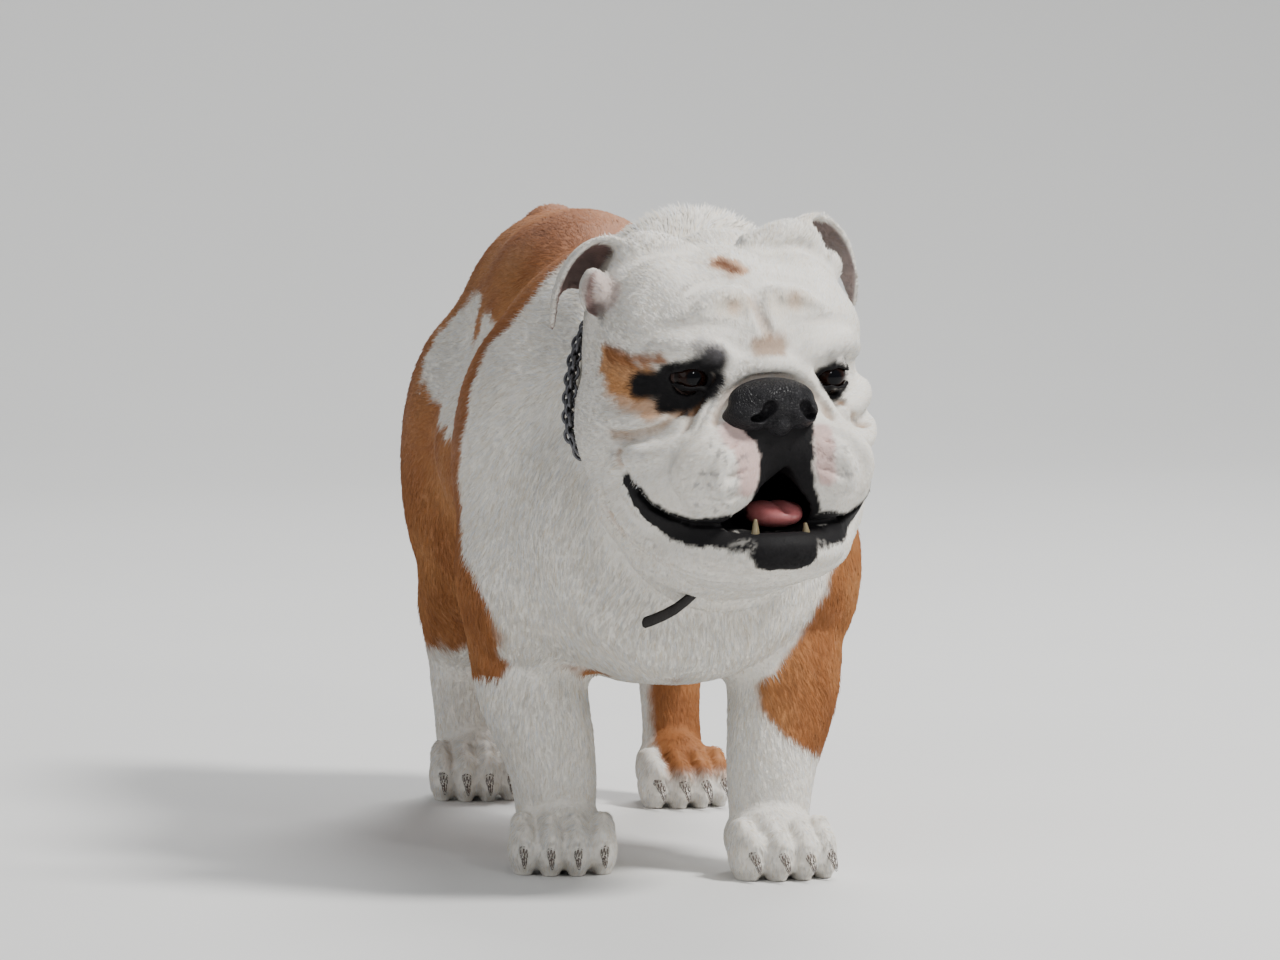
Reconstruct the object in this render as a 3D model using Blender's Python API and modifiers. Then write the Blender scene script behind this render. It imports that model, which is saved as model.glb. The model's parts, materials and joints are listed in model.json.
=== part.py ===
"""A life-size English bulldog, standing in mid walk with its head turned to its left.

Metres, +Z up. The dog faces -Y and its own left is +X. The flesh is modelled whole, as masses that
are fused and softened, and is then parted with thin cuts into the pieces that a person would name.
"""

import math

import bmesh
import bpy
from mathutils import Matrix, Vector
from mathutils.bvhtree import BVHTree

GAP = 0.0003  # what touching pieces keep between them
LEANING_GAP = 0.00033  # the same, measured along the dog where the faces lean

# Driving sizes of the dog
HEAD_CENTRE = Vector((0.016, -0.100, 0.300))  # between the cheeks, at the height of the mouth
HEAD_TURN = math.radians(12.5)  # to the dog's left
RIGHT_EYE = Vector((-0.0457, -0.0520, 0.0343))  # centres of the eyeballs, in the head's frame
LEFT_EYE = Vector((0.0497, -0.0520, 0.0313))
EYE_RADIUS = 0.0125
COLLAR_DEPTH = 0.050  # where the collar lies, along the head's depth
COLLAR_LEAN = 0.25  # how far the collar leans back for each metre up
COLLAR_PINCH = 0.20  # share of the neck's height that the collar draws in
SIDE_PINCH = 0.03  # share of its width
THROAT_PINCH = 0.15  # and how much more of its width below the jaw
COLLAR_WIDTH = 0.016
CHAIN_PITCH = 0.0125
CHAIN_RADIUS = 0.0046
STRAP_ROOT = Vector((0.002, -0.112, 0.213))  # where the loose end of the strap leaves the coat
STRAP_RUN = Vector((-0.90, -0.12, -0.28)).normalized()
STRAP_TWIST = Vector((0, -0.9, 0.3))  # how its face leans forwards, off the skin's own normal
STRAP_STEP = 0.0078
STRAP_HEIGHTS = (-0.0060, -0.0010, 0.0025, 0.0040, 0.0045, 0.0045)  # off the skin at each step
STRAP_HALF_WIDTH = 0.0040
STRAP_HALF_THICKNESS = 0.0013
SOLE = 0.0008  # height at which the soles are cut flat
EAR_THICKNESS = 0.0052

TRUNK_VOXEL = 0.008
LIMB_VOXEL = 0.004
SKIN_VOXEL = 0.0028
HEAD_DETAIL, LIMB_DETAIL, TRUNK_DETAIL = 13800, 6000, 4300  # triangles that the whole dog is thinned to


def new_object(name, mesh, collection=None):
    obj = bpy.data.objects.new(name, mesh)
    (collection or bpy.context.scene.collection).objects.link(obj)
    return obj


def evaluated_mesh(obj):
    """The object's mesh with its modifiers applied."""
    graph = bpy.context.evaluated_depsgraph_get()
    return bpy.data.meshes.new_from_object(obj.evaluated_get(graph))


def remove(obj):
    data = obj.data
    bpy.data.objects.remove(obj)
    if isinstance(data, bpy.types.Mesh):
        bpy.data.meshes.remove(data)
    else:
        bpy.data.curves.remove(data)


def mirrored(points):
    return [(-x, y, z) for x, y, z in points]


def turned(degrees):
    """A rotation by three angles about X, Y and Z."""
    x, y, z = (math.radians(a) for a in degrees)
    return Matrix.Rotation(z, 4, "Z") @ Matrix.Rotation(y, 4, "Y") @ Matrix.Rotation(x, 4, "X")


class Clay:
    """Masses gathered in one mesh, to be fused and softened together."""

    def __init__(self, frame=Matrix.Identity(4)):
        self.bm = bmesh.new()
        self.frame = frame

    def take(self, mesh):
        """Adds a finished mesh as it is."""
        self.bm.from_mesh(mesh)

    def ball(self, centre, radii, turn=(0, 0, 0)):
        """An ellipsoid with those half widths along X, Y and Z, then turned."""
        place = self.frame @ Matrix.Translation(centre) @ turned(turn) @ Matrix.Diagonal((*radii, 1))
        bmesh.ops.create_icosphere(self.bm, subdivisions=4, radius=1, matrix=place)

    def pair(self, centre, radii, turn=(0, 0, 0)):
        """An ellipsoid on each side of the middle plane."""
        x, y, z = centre
        self.ball((x, y, z), radii, turn)
        self.ball((-x, y, z), radii, (turn[0], -turn[1], -turn[2]))

    def roll(self, points, radii):
        """A smooth tube through the points, with a radius at each and round ends."""
        curve = bpy.data.curves.new("roll", "CURVE")
        curve.dimensions = "3D"
        curve.bevel_depth = 1
        curve.bevel_resolution = 3
        curve.resolution_u = 6
        curve.use_fill_caps = True
        spline = curve.splines.new("BEZIER")
        spline.bezier_points.add(len(points) - 1)
        for knot, point, radius in zip(spline.bezier_points, points, radii):
            knot.co = point
            knot.radius = radius
            knot.handle_left_type = knot.handle_right_type = "AUTO"
        guide = new_object("roll", curve)
        mesh = evaluated_mesh(guide)
        mesh.transform(self.frame)
        self.bm.from_mesh(mesh)
        bpy.data.meshes.remove(mesh)
        remove(guide)
        for end in (0, -1):
            self.ball(points[end], (radii[end],) * 3)

    def fold(self, tree, points, radius, height):
        """A fold that stands up from the surface by that height and fades out at its ends."""
        centres = []
        for number, point in enumerate(points):
            place, normal, _, _ = tree.find_nearest(point)
            rise = height * math.sin(math.pi * (number + 0.35) / (len(points) - 0.3))
            centres.append(place + normal * (rise - radius))
        self.roll(centres, [radius] * len(points))

    def fold_pair(self, tree, points, radius, height):
        self.fold(tree, points, radius, height)
        self.fold(tree, mirrored(points), radius, height)

    def settled(self, voxel, passes):
        """The masses fused at that voxel size and softened by that many passes."""
        mesh = bpy.data.meshes.new("clay")
        self.bm.to_mesh(mesh)
        self.bm.free()
        lump = new_object("clay", mesh)
        fuse = lump.modifiers.new("Fuse", "REMESH")
        fuse.mode = "VOXEL"
        fuse.voxel_size = voxel
        soften = lump.modifiers.new("Soften", "SMOOTH")
        soften.factor = 0.5
        soften.iterations = passes
        result = evaluated_mesh(lump)
        remove(lump)
        return result


def head_frame():
    return Matrix.Translation(HEAD_CENTRE) @ Matrix.Rotation(HEAD_TURN, 4, "Z")


def trunk():
    """Body, shoulders and thighs, with the broad blends of big muscles."""
    clay = Clay()
    clay.ball((0, 0.120, 0.250), (0.115, 0.200, 0.128), (-3, 0, 0))  # rib cage
    clay.ball((0, -0.015, 0.226), (0.108, 0.106, 0.106))  # chest
    clay.ball((0, 0.050, 0.185), (0.090, 0.130, 0.070))  # brisket
    clay.ball((0, 0.130, 0.306), (0.078, 0.200, 0.090))  # withers
    clay.ball((0, 0.285, 0.308), (0.074, 0.160, 0.100))  # loin
    clay.ball((0, 0.250, 0.250), (0.106, 0.140, 0.085))  # belly
    clay.ball((0, 0.360, 0.302), (0.074, 0.092, 0.100))  # rump
    clay.pair((0.076, 0.055, 0.262), (0.054, 0.092, 0.100), (10, 0, 0))  # shoulder
    clay.pair((0.088, 0.030, 0.195), (0.046, 0.066, 0.075))  # upper arm
    clay.pair((0.062, 0.360, 0.228), (0.047, 0.084, 0.108), (-12, 0, 0))  # thigh
    clay.roll([(0, 0.06, 0.300), (0.004, -0.015, 0.312), (0.012, -0.070, 0.312)], [0.110, 0.092, 0.078])
    clay.ball((0.020, 0.000, 0.346), (0.078, 0.096, 0.085))  # nape
    clay.ball((0.010, -0.062, 0.245), (0.078, 0.074, 0.076))  # throat
    return clay.settled(TRUNK_VOXEL, 16)


def paw_frame(foot, splay):
    """The place of a foot on the ground, with its toes along -Y, turned by splay degrees."""
    return Matrix.Translation((*foot, 0)) @ Matrix.Rotation(math.radians(splay), 4, "Z")


def toes(length, width):
    """Where the four toes lie: how far sideways and how far forwards."""
    return [(step * width * 0.27, length * (0.30 - 0.045 * step * step)) for step in (-1.5, -0.5, 0.5, 1.5)]


def paw(clay, foot, length, width, splay):
    """A foot with four arched toes."""
    clay.frame = paw_frame(foot, splay)
    clay.ball((0, 0.012, 0.024), (width * 0.46, length * 0.42, 0.026))
    for lateral, reach in toes(length, width):
        fan = -90 * lateral / width * 0.25
        clay.ball((lateral, -reach, 0.017), (width * 0.155, length * 0.24, 0.019), (14, 0, fan))
        clay.ball((lateral, -reach + 0.010, 0.028), (width * 0.14, 0.014, 0.013))


def front_leg(clay, side, elbow, wrist, foot):
    """Forearm from the elbow down to the foot. side is 1 for the dog's left."""
    middle = (Vector(elbow) + Vector(wrist)) / 2 + Vector((side * 0.004, 0, 0))
    ankle = (foot[0], foot[1] + 0.020, 0.030)
    clay.roll([elbow, middle, wrist, ankle], [0.042, 0.038, 0.030, 0.027])


def hind_leg(clay, stifle, hock, foot):
    shin = (Vector(stifle) + Vector(hock)) / 2
    heel = (hock[0], hock[1] - 0.006, 0.060)
    ankle = (foot[0], foot[1] + 0.022, 0.028)
    clay.roll([stifle, shin, hock], [0.038, 0.034, 0.024])
    clay.roll([hock, heel, ankle], [0.024, 0.021, 0.022])


FRONT_FEET = {"right": (-0.068, 0.006), "left": (0.062, -0.046)}
HIND_FEET = {"right": (-0.050, 0.418), "left": (0.077, 0.352)}
FRONT_PAW = (0.086, 0.064, 8)  # length, width, and degrees turned outwards
HIND_PAW = (0.078, 0.056, 6)


def head_masses():
    """The skull, cheeks and upper lips, in the head's own frame, where the face looks along -Y."""
    clay = Clay()
    clay.ball((0, 0.012, 0.044), (0.087, 0.084, 0.068))  # cranium
    clay.pair((0.044, 0.010, 0.062), (0.042, 0.062, 0.048))  # temple
    clay.pair((0.030, -0.022, 0.054), (0.046, 0.046, 0.044))  # brow
    clay.pair((0.058, -0.012, 0.056), (0.030, 0.040, 0.034))  # side of the forehead
    clay.pair((0.051, 0.004, -0.002), (0.045, 0.062, 0.064))  # cheek
    clay.pair((0.048, -0.008, -0.045), (0.041, 0.056, 0.042))  # jowl
    clay.ball((0, -0.052, -0.002), (0.056, 0.040, 0.040))  # bridge
    clay.pair((0.036, -0.062, -0.026), (0.035, 0.038, 0.038))  # upper lip
    clay.pair((0.053, -0.042, -0.030), (0.030, 0.040, 0.034))  # side of the upper lip
    clay.ball((0, 0.004, -0.072), (0.072, 0.076, 0.044))  # under the jaw
    return clay.settled(LIMB_VOXEL, 8)


def jaw_masses():
    """The undershot lower jaw, in the head's own frame."""
    clay = Clay()
    clay.ball((0, -0.035, -0.086), (0.054, 0.056, 0.020))  # floor of the mouth
    half = [(-0.066, -0.022, -0.058), (-0.053, -0.052, -0.072), (-0.033, -0.079, -0.076)]
    rim = half + [(0, -0.093, -0.0755)] + mirrored(half)[::-1]
    clay.roll(rim, [0.012, 0.013, 0.014, 0.014, 0.014, 0.013, 0.012])  # lower lip
    return clay.settled(LIMB_VOXEL, 3)


def body_with_limbs():
    clay = Clay()
    clay.take(trunk())
    front_leg(clay, -1, (-0.086, 0.045, 0.175), (-0.070, 0.025, 0.062), FRONT_FEET["right"])
    front_leg(clay, 1, (0.080, 0.020, 0.175), (0.064, -0.020, 0.062), FRONT_FEET["left"])
    hind_leg(clay, (-0.064, 0.345, 0.165), (-0.055, 0.440, 0.100), HIND_FEET["right"])
    hind_leg(clay, (0.070, 0.310, 0.165), (0.077, 0.386, 0.100), HIND_FEET["left"])
    clay.roll([(0.004, 0.395, 0.357), (0.005, 0.428, 0.376), (0.006, 0.446, 0.362)], [0.034, 0.024, 0.016])
    for masses in (head_masses(), jaw_masses()):
        masses.transform(head_frame())
        clay.take(masses)
    return clay.settled(LIMB_VOXEL, 6)


# Folds of the face on its right side, mirrored to the left: path, radius and height
FOLDS = (
    # brow
    ([(-0.076, -0.036, 0.046), (-0.054, -0.058, 0.052), (-0.032, -0.064, 0.047), (-0.016, -0.068, 0.040)],
     0.011, 0.008),
    # forehead
    ([(-0.046, -0.056, 0.072), (-0.027, -0.055, 0.084), (-0.010, -0.055, 0.084), (-0.006, -0.066, 0.066)],
     0.009, 0.005),
    # side of the muzzle
    ([(-0.034, -0.084, 0.004), (-0.054, -0.086, -0.008), (-0.064, -0.080, -0.026), (-0.056, -0.082, -0.046)],
     0.011, 0.006),
    # upper lip
    ([(-0.026, -0.094, -0.006), (-0.041, -0.096, -0.015), (-0.046, -0.096, -0.032), (-0.036, -0.094, -0.046)],
     0.008, 0.0045),
    # loose skin along the jaw
    ([(-0.098, 0.002, -0.026), (-0.092, -0.022, -0.052), (-0.074, -0.040, -0.078), (-0.050, -0.066, -0.094),
      (-0.020, -0.080, -0.098)],
     0.013, 0.006),
)
# Folds of each cheek, which are higher on its left side, away from the weight of the flew
CHEEK_FOLDS = (
    ([(-0.050, -0.066, 0.012), (-0.068, -0.055, 0.006), (-0.088, -0.034, 0.006), (-0.096, -0.014, 0.010)],
     0.009, 0.006),
    ([(-0.056, -0.074, -0.006), (-0.074, -0.058, -0.014), (-0.090, -0.036, -0.018), (-0.094, -0.020, -0.030)],
     0.010, 0.006),
    ([(0.052, -0.064, 0.010), (0.070, -0.055, 0.012), (0.088, -0.036, 0.020), (0.096, -0.016, 0.026)],
     0.010, 0.008),
    ([(0.056, -0.074, -0.006), (0.074, -0.058, -0.008), (0.090, -0.038, -0.004), (0.097, -0.018, -0.002)],
     0.010, 0.008),
)


def face_folds(clay, tree):
    """The folds of the face, laid along the surface of the head in its own frame."""
    rope = [(-0.052, -0.080, 0.000), (-0.040, -0.072, 0.020), (-0.024, -0.071, 0.035)]
    clay.fold(tree, rope + [(0, -0.071, 0.041)] + mirrored(rope)[::-1], 0.010, 0.008)
    for path, radius, height in FOLDS:
        clay.fold_pair(tree, path, radius, height)
    for path, radius, height in CHEEK_FOLDS:
        clay.fold(tree, path, radius, height)


def lids(clay):
    """An upper and a lower lid on each eye, as thick arcs just outside the eyeball."""
    reach = EYE_RADIUS + 0.0012
    for side, centre in ((-1, RIGHT_EYE), (1, LEFT_EYE)):
        for up, radius in ((33, 0.0034), (-31, 0.0028)):
            points = []
            for step in range(7):
                around = math.radians(-62 + 124 * step / 6)
                tilt = math.radians(up) * math.cos(around) ** 0.8
                aside = around + side * 0.18
                way = Vector((math.sin(aside), -math.cos(aside), math.tan(tilt)))
                points.append(centre + way.normalized() * reach)
            clay.roll(points, [radius * 0.8] + [radius] * 5 + [radius * 0.8])


# The front and back edges of an ear's flap, from the skull to its tip
EAR_FRONT = (
    (0.054, -0.006, 0.106), (0.072, 0.004, 0.122), (0.093, 0.010, 0.115), (0.107, 0.018, 0.088),
    (0.106, 0.026, 0.058),
)
EAR_BACK = (
    (0.078, 0.034, 0.078), (0.088, 0.038, 0.086), (0.096, 0.038, 0.081), (0.102, 0.036, 0.069),
    (0.104, 0.030, 0.056),
)


def ear_sheet(side, lift, width):
    """The folded back flap of one ear, as a thick sheet.

    side is 1 for the left, lift pricks the flap up and width is the share of the full flap that shows.
    """
    across = 5
    bm = bmesh.new()
    rows = []
    for number, (near, far) in enumerate(zip(EAR_FRONT, EAR_BACK)):
        along = number / (len(EAR_FRONT) - 1)
        row = []
        for step in range(across):
            share = width * step / (across - 1)
            point = Vector(near).lerp(Vector(far), share)
            bulge = 4 * share * (1 - share) * (1 - along * 0.7)
            point += Vector((-0.002, 0.014, 0.010)) * bulge
            point += Vector((along - 1, 0, 1 - 0.4 * along)) * lift
            row.append(bm.verts.new((side * point.x, point.y, point.z)))
        rows.append(row)
    for low, high in zip(rows, rows[1:]):
        for step in range(across - 1):
            bm.faces.new((low[step], low[step + 1], high[step + 1], high[step]))
    mesh = bpy.data.meshes.new("ear")
    bm.to_mesh(mesh)
    bm.free()
    sheet = new_object("ear", mesh)
    smooth = sheet.modifiers.new("Round", "SUBSURF")
    smooth.levels = smooth.render_levels = 2
    thick = sheet.modifiers.new("Thickness", "SOLIDIFY")
    thick.thickness = EAR_THICKNESS
    thick.offset = 0
    result = evaluated_mesh(sheet)
    remove(sheet)
    result.transform(head_frame())
    return result


def ear_roots(clay):
    """The skin that rises from the skull into each ear, higher on the lifted left one."""
    path = [(0.022, 0.104), (0.040, 0.109), (0.056, 0.110), (0.065, 0.099), (0.072, 0.086)]
    for side, lift in ((-1, 0.0), (1, 0.005)):
        clay.roll([(side * x, 0.006, z + lift) for x, z in path], [0.010, 0.012, 0.012, 0.011, 0.010])


def hidden(height):
    """How deep the collar is lost in loose skin, 0 to 1, at a height in the head's frame."""
    share = min(max((-0.008 - height) / 0.035, (height - 0.072) / 0.030, 0), 1)
    return share * share * (3 - 2 * share)


def pinch(mesh, frame):
    """Draws the neck in where the collar lies, so that loose skin stands up behind it."""
    back = frame.inverted()
    for vertex in mesh.vertices:
        local = back @ vertex.co
        off = local.y - COLLAR_DEPTH - COLLAR_LEAN * local.z
        share = math.exp(-((off / COLLAR_WIDTH) ** 2))
        local.x *= 1 - share * (SIDE_PINCH + THROAT_PINCH * hidden(local.z))
        local.z *= 1 - share * COLLAR_PINCH
        vertex.co = frame @ local


def surface_tree(mesh, frame):
    """A tree for finding the nearest surface, in the coordinates of the frame."""
    back = frame.inverted()
    return BVHTree.FromPolygons([back @ v.co for v in mesh.vertices], [p.vertices[:] for p in mesh.polygons])


def whole_dog():
    """The fused flesh, fine enough for folds, lids and toes."""
    base = body_with_limbs()
    pinch(base, head_frame())
    clay = Clay()
    for feet, (length, width, splay) in ((FRONT_FEET, FRONT_PAW), (HIND_FEET, HIND_PAW)):
        for name, foot in feet.items():
            paw(clay, foot, length, width, splay if name == "left" else -splay)
    clay.frame = head_frame()
    face_folds(clay, surface_tree(base, head_frame()))
    lids(clay)
    ear_roots(clay)
    clay.take(ear_sheet(-1, 0, 1))
    clay.take(ear_sheet(1, 0.011, 0.75))
    clay.take(base)
    return clay.settled(SKIN_VOXEL, 2)


def decimated(mesh, count):
    """The mesh brought down to about that many triangles."""
    lump = new_object("lump", mesh.copy())
    mesh.calc_loop_triangles()
    thin = lump.modifiers.new("Thin out", "DECIMATE")
    thin.ratio = count / len(mesh.loop_triangles)
    result = evaluated_mesh(lump)
    remove(lump)
    return result


def loft(rings, closed=False):
    """A closed skin over rings of points that all have the same count. closed joins the last to the first."""
    bm = bmesh.new()
    rows = [[bm.verts.new(point) for point in ring] for ring in rings]
    pairs = list(zip(rows, rows[1:]))
    if closed:
        pairs.append((rows[-1], rows[0]))
    else:
        bm.faces.new(rows[0])
        bm.faces.new(rows[-1][::-1])
    for near, far in pairs:
        for step in range(len(near)):
            after = (step + 1) % len(near)
            bm.faces.new((near[after], near[step], far[step], far[after]))
    bmesh.ops.recalc_face_normals(bm, faces=bm.faces)
    mesh = bpy.data.meshes.new("loft")
    bm.to_mesh(mesh)
    bm.free()
    return mesh


def tube(points, radii, sides, closed=False):
    """A tube round the points with a radius at each."""
    rings = []
    count = len(points)
    for number, (point, radius) in enumerate(zip(points, radii)):
        before = points[(number - 1) % count] if closed or number > 0 else point
        after = points[(number + 1) % count] if closed or number < count - 1 else point
        along = (after - before).normalized()
        across = along.cross(Vector((0, 0, 1))).normalized()
        if across.length < 0.5:
            across = Vector((1, 0, 0))
        up = across.cross(along)
        angles = [2 * math.pi * (step + 0.5) / sides for step in range(sides)]
        rings.append([point + (across * math.cos(a) + up * math.sin(a)) * radius for a in angles])
    return loft(rings, closed)


def ball_mesh(centre, radii, segments, frame=Matrix.Identity(4)):
    bm = bmesh.new()
    place = frame @ Matrix.Translation(centre) @ Matrix.Diagonal((*radii, 1))
    bmesh.ops.create_uvsphere(bm, u_segments=segments, v_segments=segments // 2, radius=1, matrix=place)
    mesh = bpy.data.meshes.new("ball")
    bm.to_mesh(mesh)
    bm.free()
    return mesh


def swollen(mesh, amount):
    """A copy of the mesh with its surface moved outwards."""
    lump = new_object("lump", mesh.copy())
    swell = lump.modifiers.new("Swell", "DISPLACE")
    swell.mid_level = 0
    swell.strength = amount
    result = evaluated_mesh(lump)
    remove(lump)
    return result


def slab(frame, lean, start, stop):
    """A block across the dog between two planes that lean back as they rise, in that frame."""
    corners = [(-REACH, -REACH), (REACH, -REACH), (REACH, REACH), (-REACH, REACH)]
    rings = [[frame @ Vector((x, y + lean * z, z)) for x, z in corners] for y in (start, stop)]
    return loft(rings)


def block(outline, low, high, frame=Matrix.Identity(4)):
    """A block with that outline in XZ, reaching from low to high along Y."""
    return loft([[frame @ Vector((x, y, z)) for x, z in outline] for y in (low, high)])


REACH = 0.3  # half the width of the cutting blocks that span the dog
NAPE_CUT = 0.035  # where the head ends, along its own depth
SHOULDER_CUT = 0.020  # where the neck ends, along the body
SHOULDER_LEAN = 0.40
FRONT_SPAN = (-0.140, 0.128)
HIND_SPAN = (0.232, 0.520)
TAIL_SPAN = (0.420, 0.520)
EAR_SPAN = (-0.040, 0.060)


def limb_outline(side, groin, groin_height, slope_height, gap=0.0):
    """Across the body: from below the groin up, out along the slope, and down outside the leg."""
    inner = side * (groin - gap)
    outer = side * 0.170
    low = -0.02 - gap
    return [(inner, low), (inner, groin_height + gap), (outer, slope_height + gap * 1.3), (outer, low)]


def tail_outline(gap=0.0):
    """Across the rump: a box round the root of the tail and all above it."""
    right, left, low, top = -0.030 - gap, 0.040 + gap, 0.336 - gap, 0.450
    return [(right, low), (right, top), (left, top), (left, low)]


def ear_outline(side, gap=0.0):
    """Across the head: the plane that takes an ear off the skull, then well outside the ear."""
    top, low, far = 0.150 + gap, 0.042 - gap, 0.160
    return [(side * (0.0642 - gap), top), (side * far, top), (side * far, low), (side * (0.0965 - gap), low)]


def nose_mesh():
    clay = Clay()
    clay.ball((-0.002, -0.082, 0.020), (0.029, 0.018, 0.0145))  # leather
    clay.ball((-0.018, -0.084, 0.012), (0.016, 0.014, 0.011))  # wing of the right nostril
    clay.ball((0.014, -0.085, 0.013), (0.014, 0.014, 0.012))  # wing of the left nostril
    clay.ball((-0.026, -0.080, 0.009), (0.009, 0.012, 0.007))  # its lower corner
    clay.ball((0, -0.084, 0.006), (0.010, 0.013, 0.010))  # over the lip
    nose = decimated(clay.settled(0.0016, 4), 420)
    nose.transform(head_frame())
    return nose


# Outline in XZ of the opening between the upper lips, the lower lip and the root of the parting
PARTING = (
    (-0.034, -0.0625), (-0.034, -0.0540), (-0.0160, -0.0427), (0.0076, -0.0205), (0.0175, -0.0427),
    (0.0215, -0.0540), (0.0215, -0.0625),
)


def mouth_sheet():
    """The line of the mouth, as a thin curved sheet that is cut out between the lips."""
    half = [
        (-0.076, -0.040, -0.033), (-0.072, -0.052, -0.043), (-0.062, -0.060, -0.0545),
        (-0.050, -0.070, -0.0595), (-0.030, -0.084, -0.0600),
    ]
    path = [Vector(p) for p in half + [(0, -0.098, -0.0600)] + mirrored(half)[::-1]]
    middle = Vector((0, -0.020, -0.060))
    rings = []
    for number, point in enumerate(path):
        along = path[min(number + 1, len(path) - 1)] - path[max(number - 1, 0)]
        out = point - middle
        out.z = 0
        out.normalize()
        up = along.cross(out).normalized()
        thick = 0.0013 if 0 < number < len(path) - 1 else 0.0006
        near, far = point - out * 0.018, point + out * 0.020
        rings.append([near - up * thick, far - up * thick, far + up * thick, near + up * thick])
    sheet = loft(rings)
    sheet.transform(head_frame())
    return sheet


def collar_loop(mesh):
    """Evenly spaced points round the neck, just proud of the coat, three to each bead."""
    frame = head_frame()
    normal = (frame.to_3x3() @ Vector((0, 1, -COLLAR_LEAN))).normalized()
    origin = frame @ Vector((0, COLLAR_DEPTH, 0))
    bm = bmesh.new()
    bm.from_mesh(mesh)
    geometry = list(bm.verts) + list(bm.edges) + list(bm.faces)
    ring = bmesh.ops.bisect_plane(bm, geom=geometry, plane_co=origin, plane_no=normal, dist=1e-6)["geom_cut"]
    points = [v.co.copy() for v in ring if isinstance(v, bmesh.types.BMVert)]
    bm.free()
    across = (frame.to_3x3() @ Vector((1, 0, 0))).normalized()
    up = normal.cross(across)
    count = 72
    spokes = [[] for _ in range(count)]
    for point in points:
        way = point - origin
        angle = math.atan2(way.dot(up), way.dot(across)) % (2 * math.pi)
        spokes[int(angle / (2 * math.pi) * count) % count].append(way.length)
    radii = []
    for number in range(count):
        near = [spokes[(number + step) % count] for step in range(count)]
        radii.append(max(next(spoke for spoke in near if spoke)))
    for _ in range(10):
        radii = [(radii[n - 1] + 2 * radii[n] + radii[(n + 1) % count]) / 4 for n in range(count)]
    loop = []
    for number, radius in enumerate(radii):
        angle = 2 * math.pi * (number + 0.5) / count
        way = across * math.cos(angle) + up * math.sin(angle)
        proud = CHAIN_RADIUS * (0.8 - 2.9 * hidden(way.z * radius))
        loop.append(origin + way * (radius + proud))
    lengths = [(loop[(n + 1) % count] - loop[n]).length for n in range(count)]
    total = sum(lengths)
    steps = 3 * round(total / CHAIN_PITCH)
    even = []
    number, walked = 0, 0.0
    for step in range(steps):
        goal = total * step / steps
        while walked + lengths[number] < goal:
            walked += lengths[number]
            number += 1
        share = (goal - walked) / lengths[number]
        even.append(loop[number].lerp(loop[(number + 1) % count], share))
    return even


def claw(frame, lateral, reach, swell):
    """A short curved claw that leaves the toe forwards and bends down."""
    path = [(0.010, 0.0185), (0.017, 0.0170), (0.023, 0.0130), (0.0275, 0.0075)]
    points = [frame @ Vector((lateral, -reach - y, z)) for y, z in path]
    radii = [r + swell for r in (0.0034, 0.0032, 0.0024, 0.0010)]
    return tube(points, radii, 8)


class Studio:
    """The finished pieces and their cutters."""

    def __init__(self):
        scene = bpy.context.scene.collection
        self.pieces = bpy.data.collections.new("english bulldog")
        self.cutters = bpy.data.collections.new("cutters")
        self.cutters.hide_render = True
        scene.children.link(self.pieces)
        scene.children.link(self.cutters)

    def cutter(self, name, mesh):
        obj = new_object(name + " cutter", mesh, self.cutters)
        obj.display_type = "WIRE"
        obj.hide_render = True
        return obj

    def piece(self, name, mesh, material):
        obj = new_object(name, mesh, self.pieces)
        mesh.materials.clear()
        mesh.materials.append(material)
        mesh.polygons.foreach_set("use_smooth", [True] * len(mesh.polygons))
        return obj


def cut(obj, cutter, operation="DIFFERENCE", solver="EXACT"):
    trim = obj.modifiers.new(cutter.name, "BOOLEAN")
    trim.operation = operation
    trim.solver = solver
    trim.object = cutter


def surface_material(name, colour, roughness, metallic=0.0):
    material = bpy.data.materials.new(name)
    material.use_nodes = True
    shader = material.node_tree.nodes["Principled BSDF"]
    shader.inputs["Base Color"].default_value = (*colour, 1)
    shader.inputs["Roughness"].default_value = roughness
    shader.inputs["Metallic"].default_value = metallic
    return material


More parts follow.
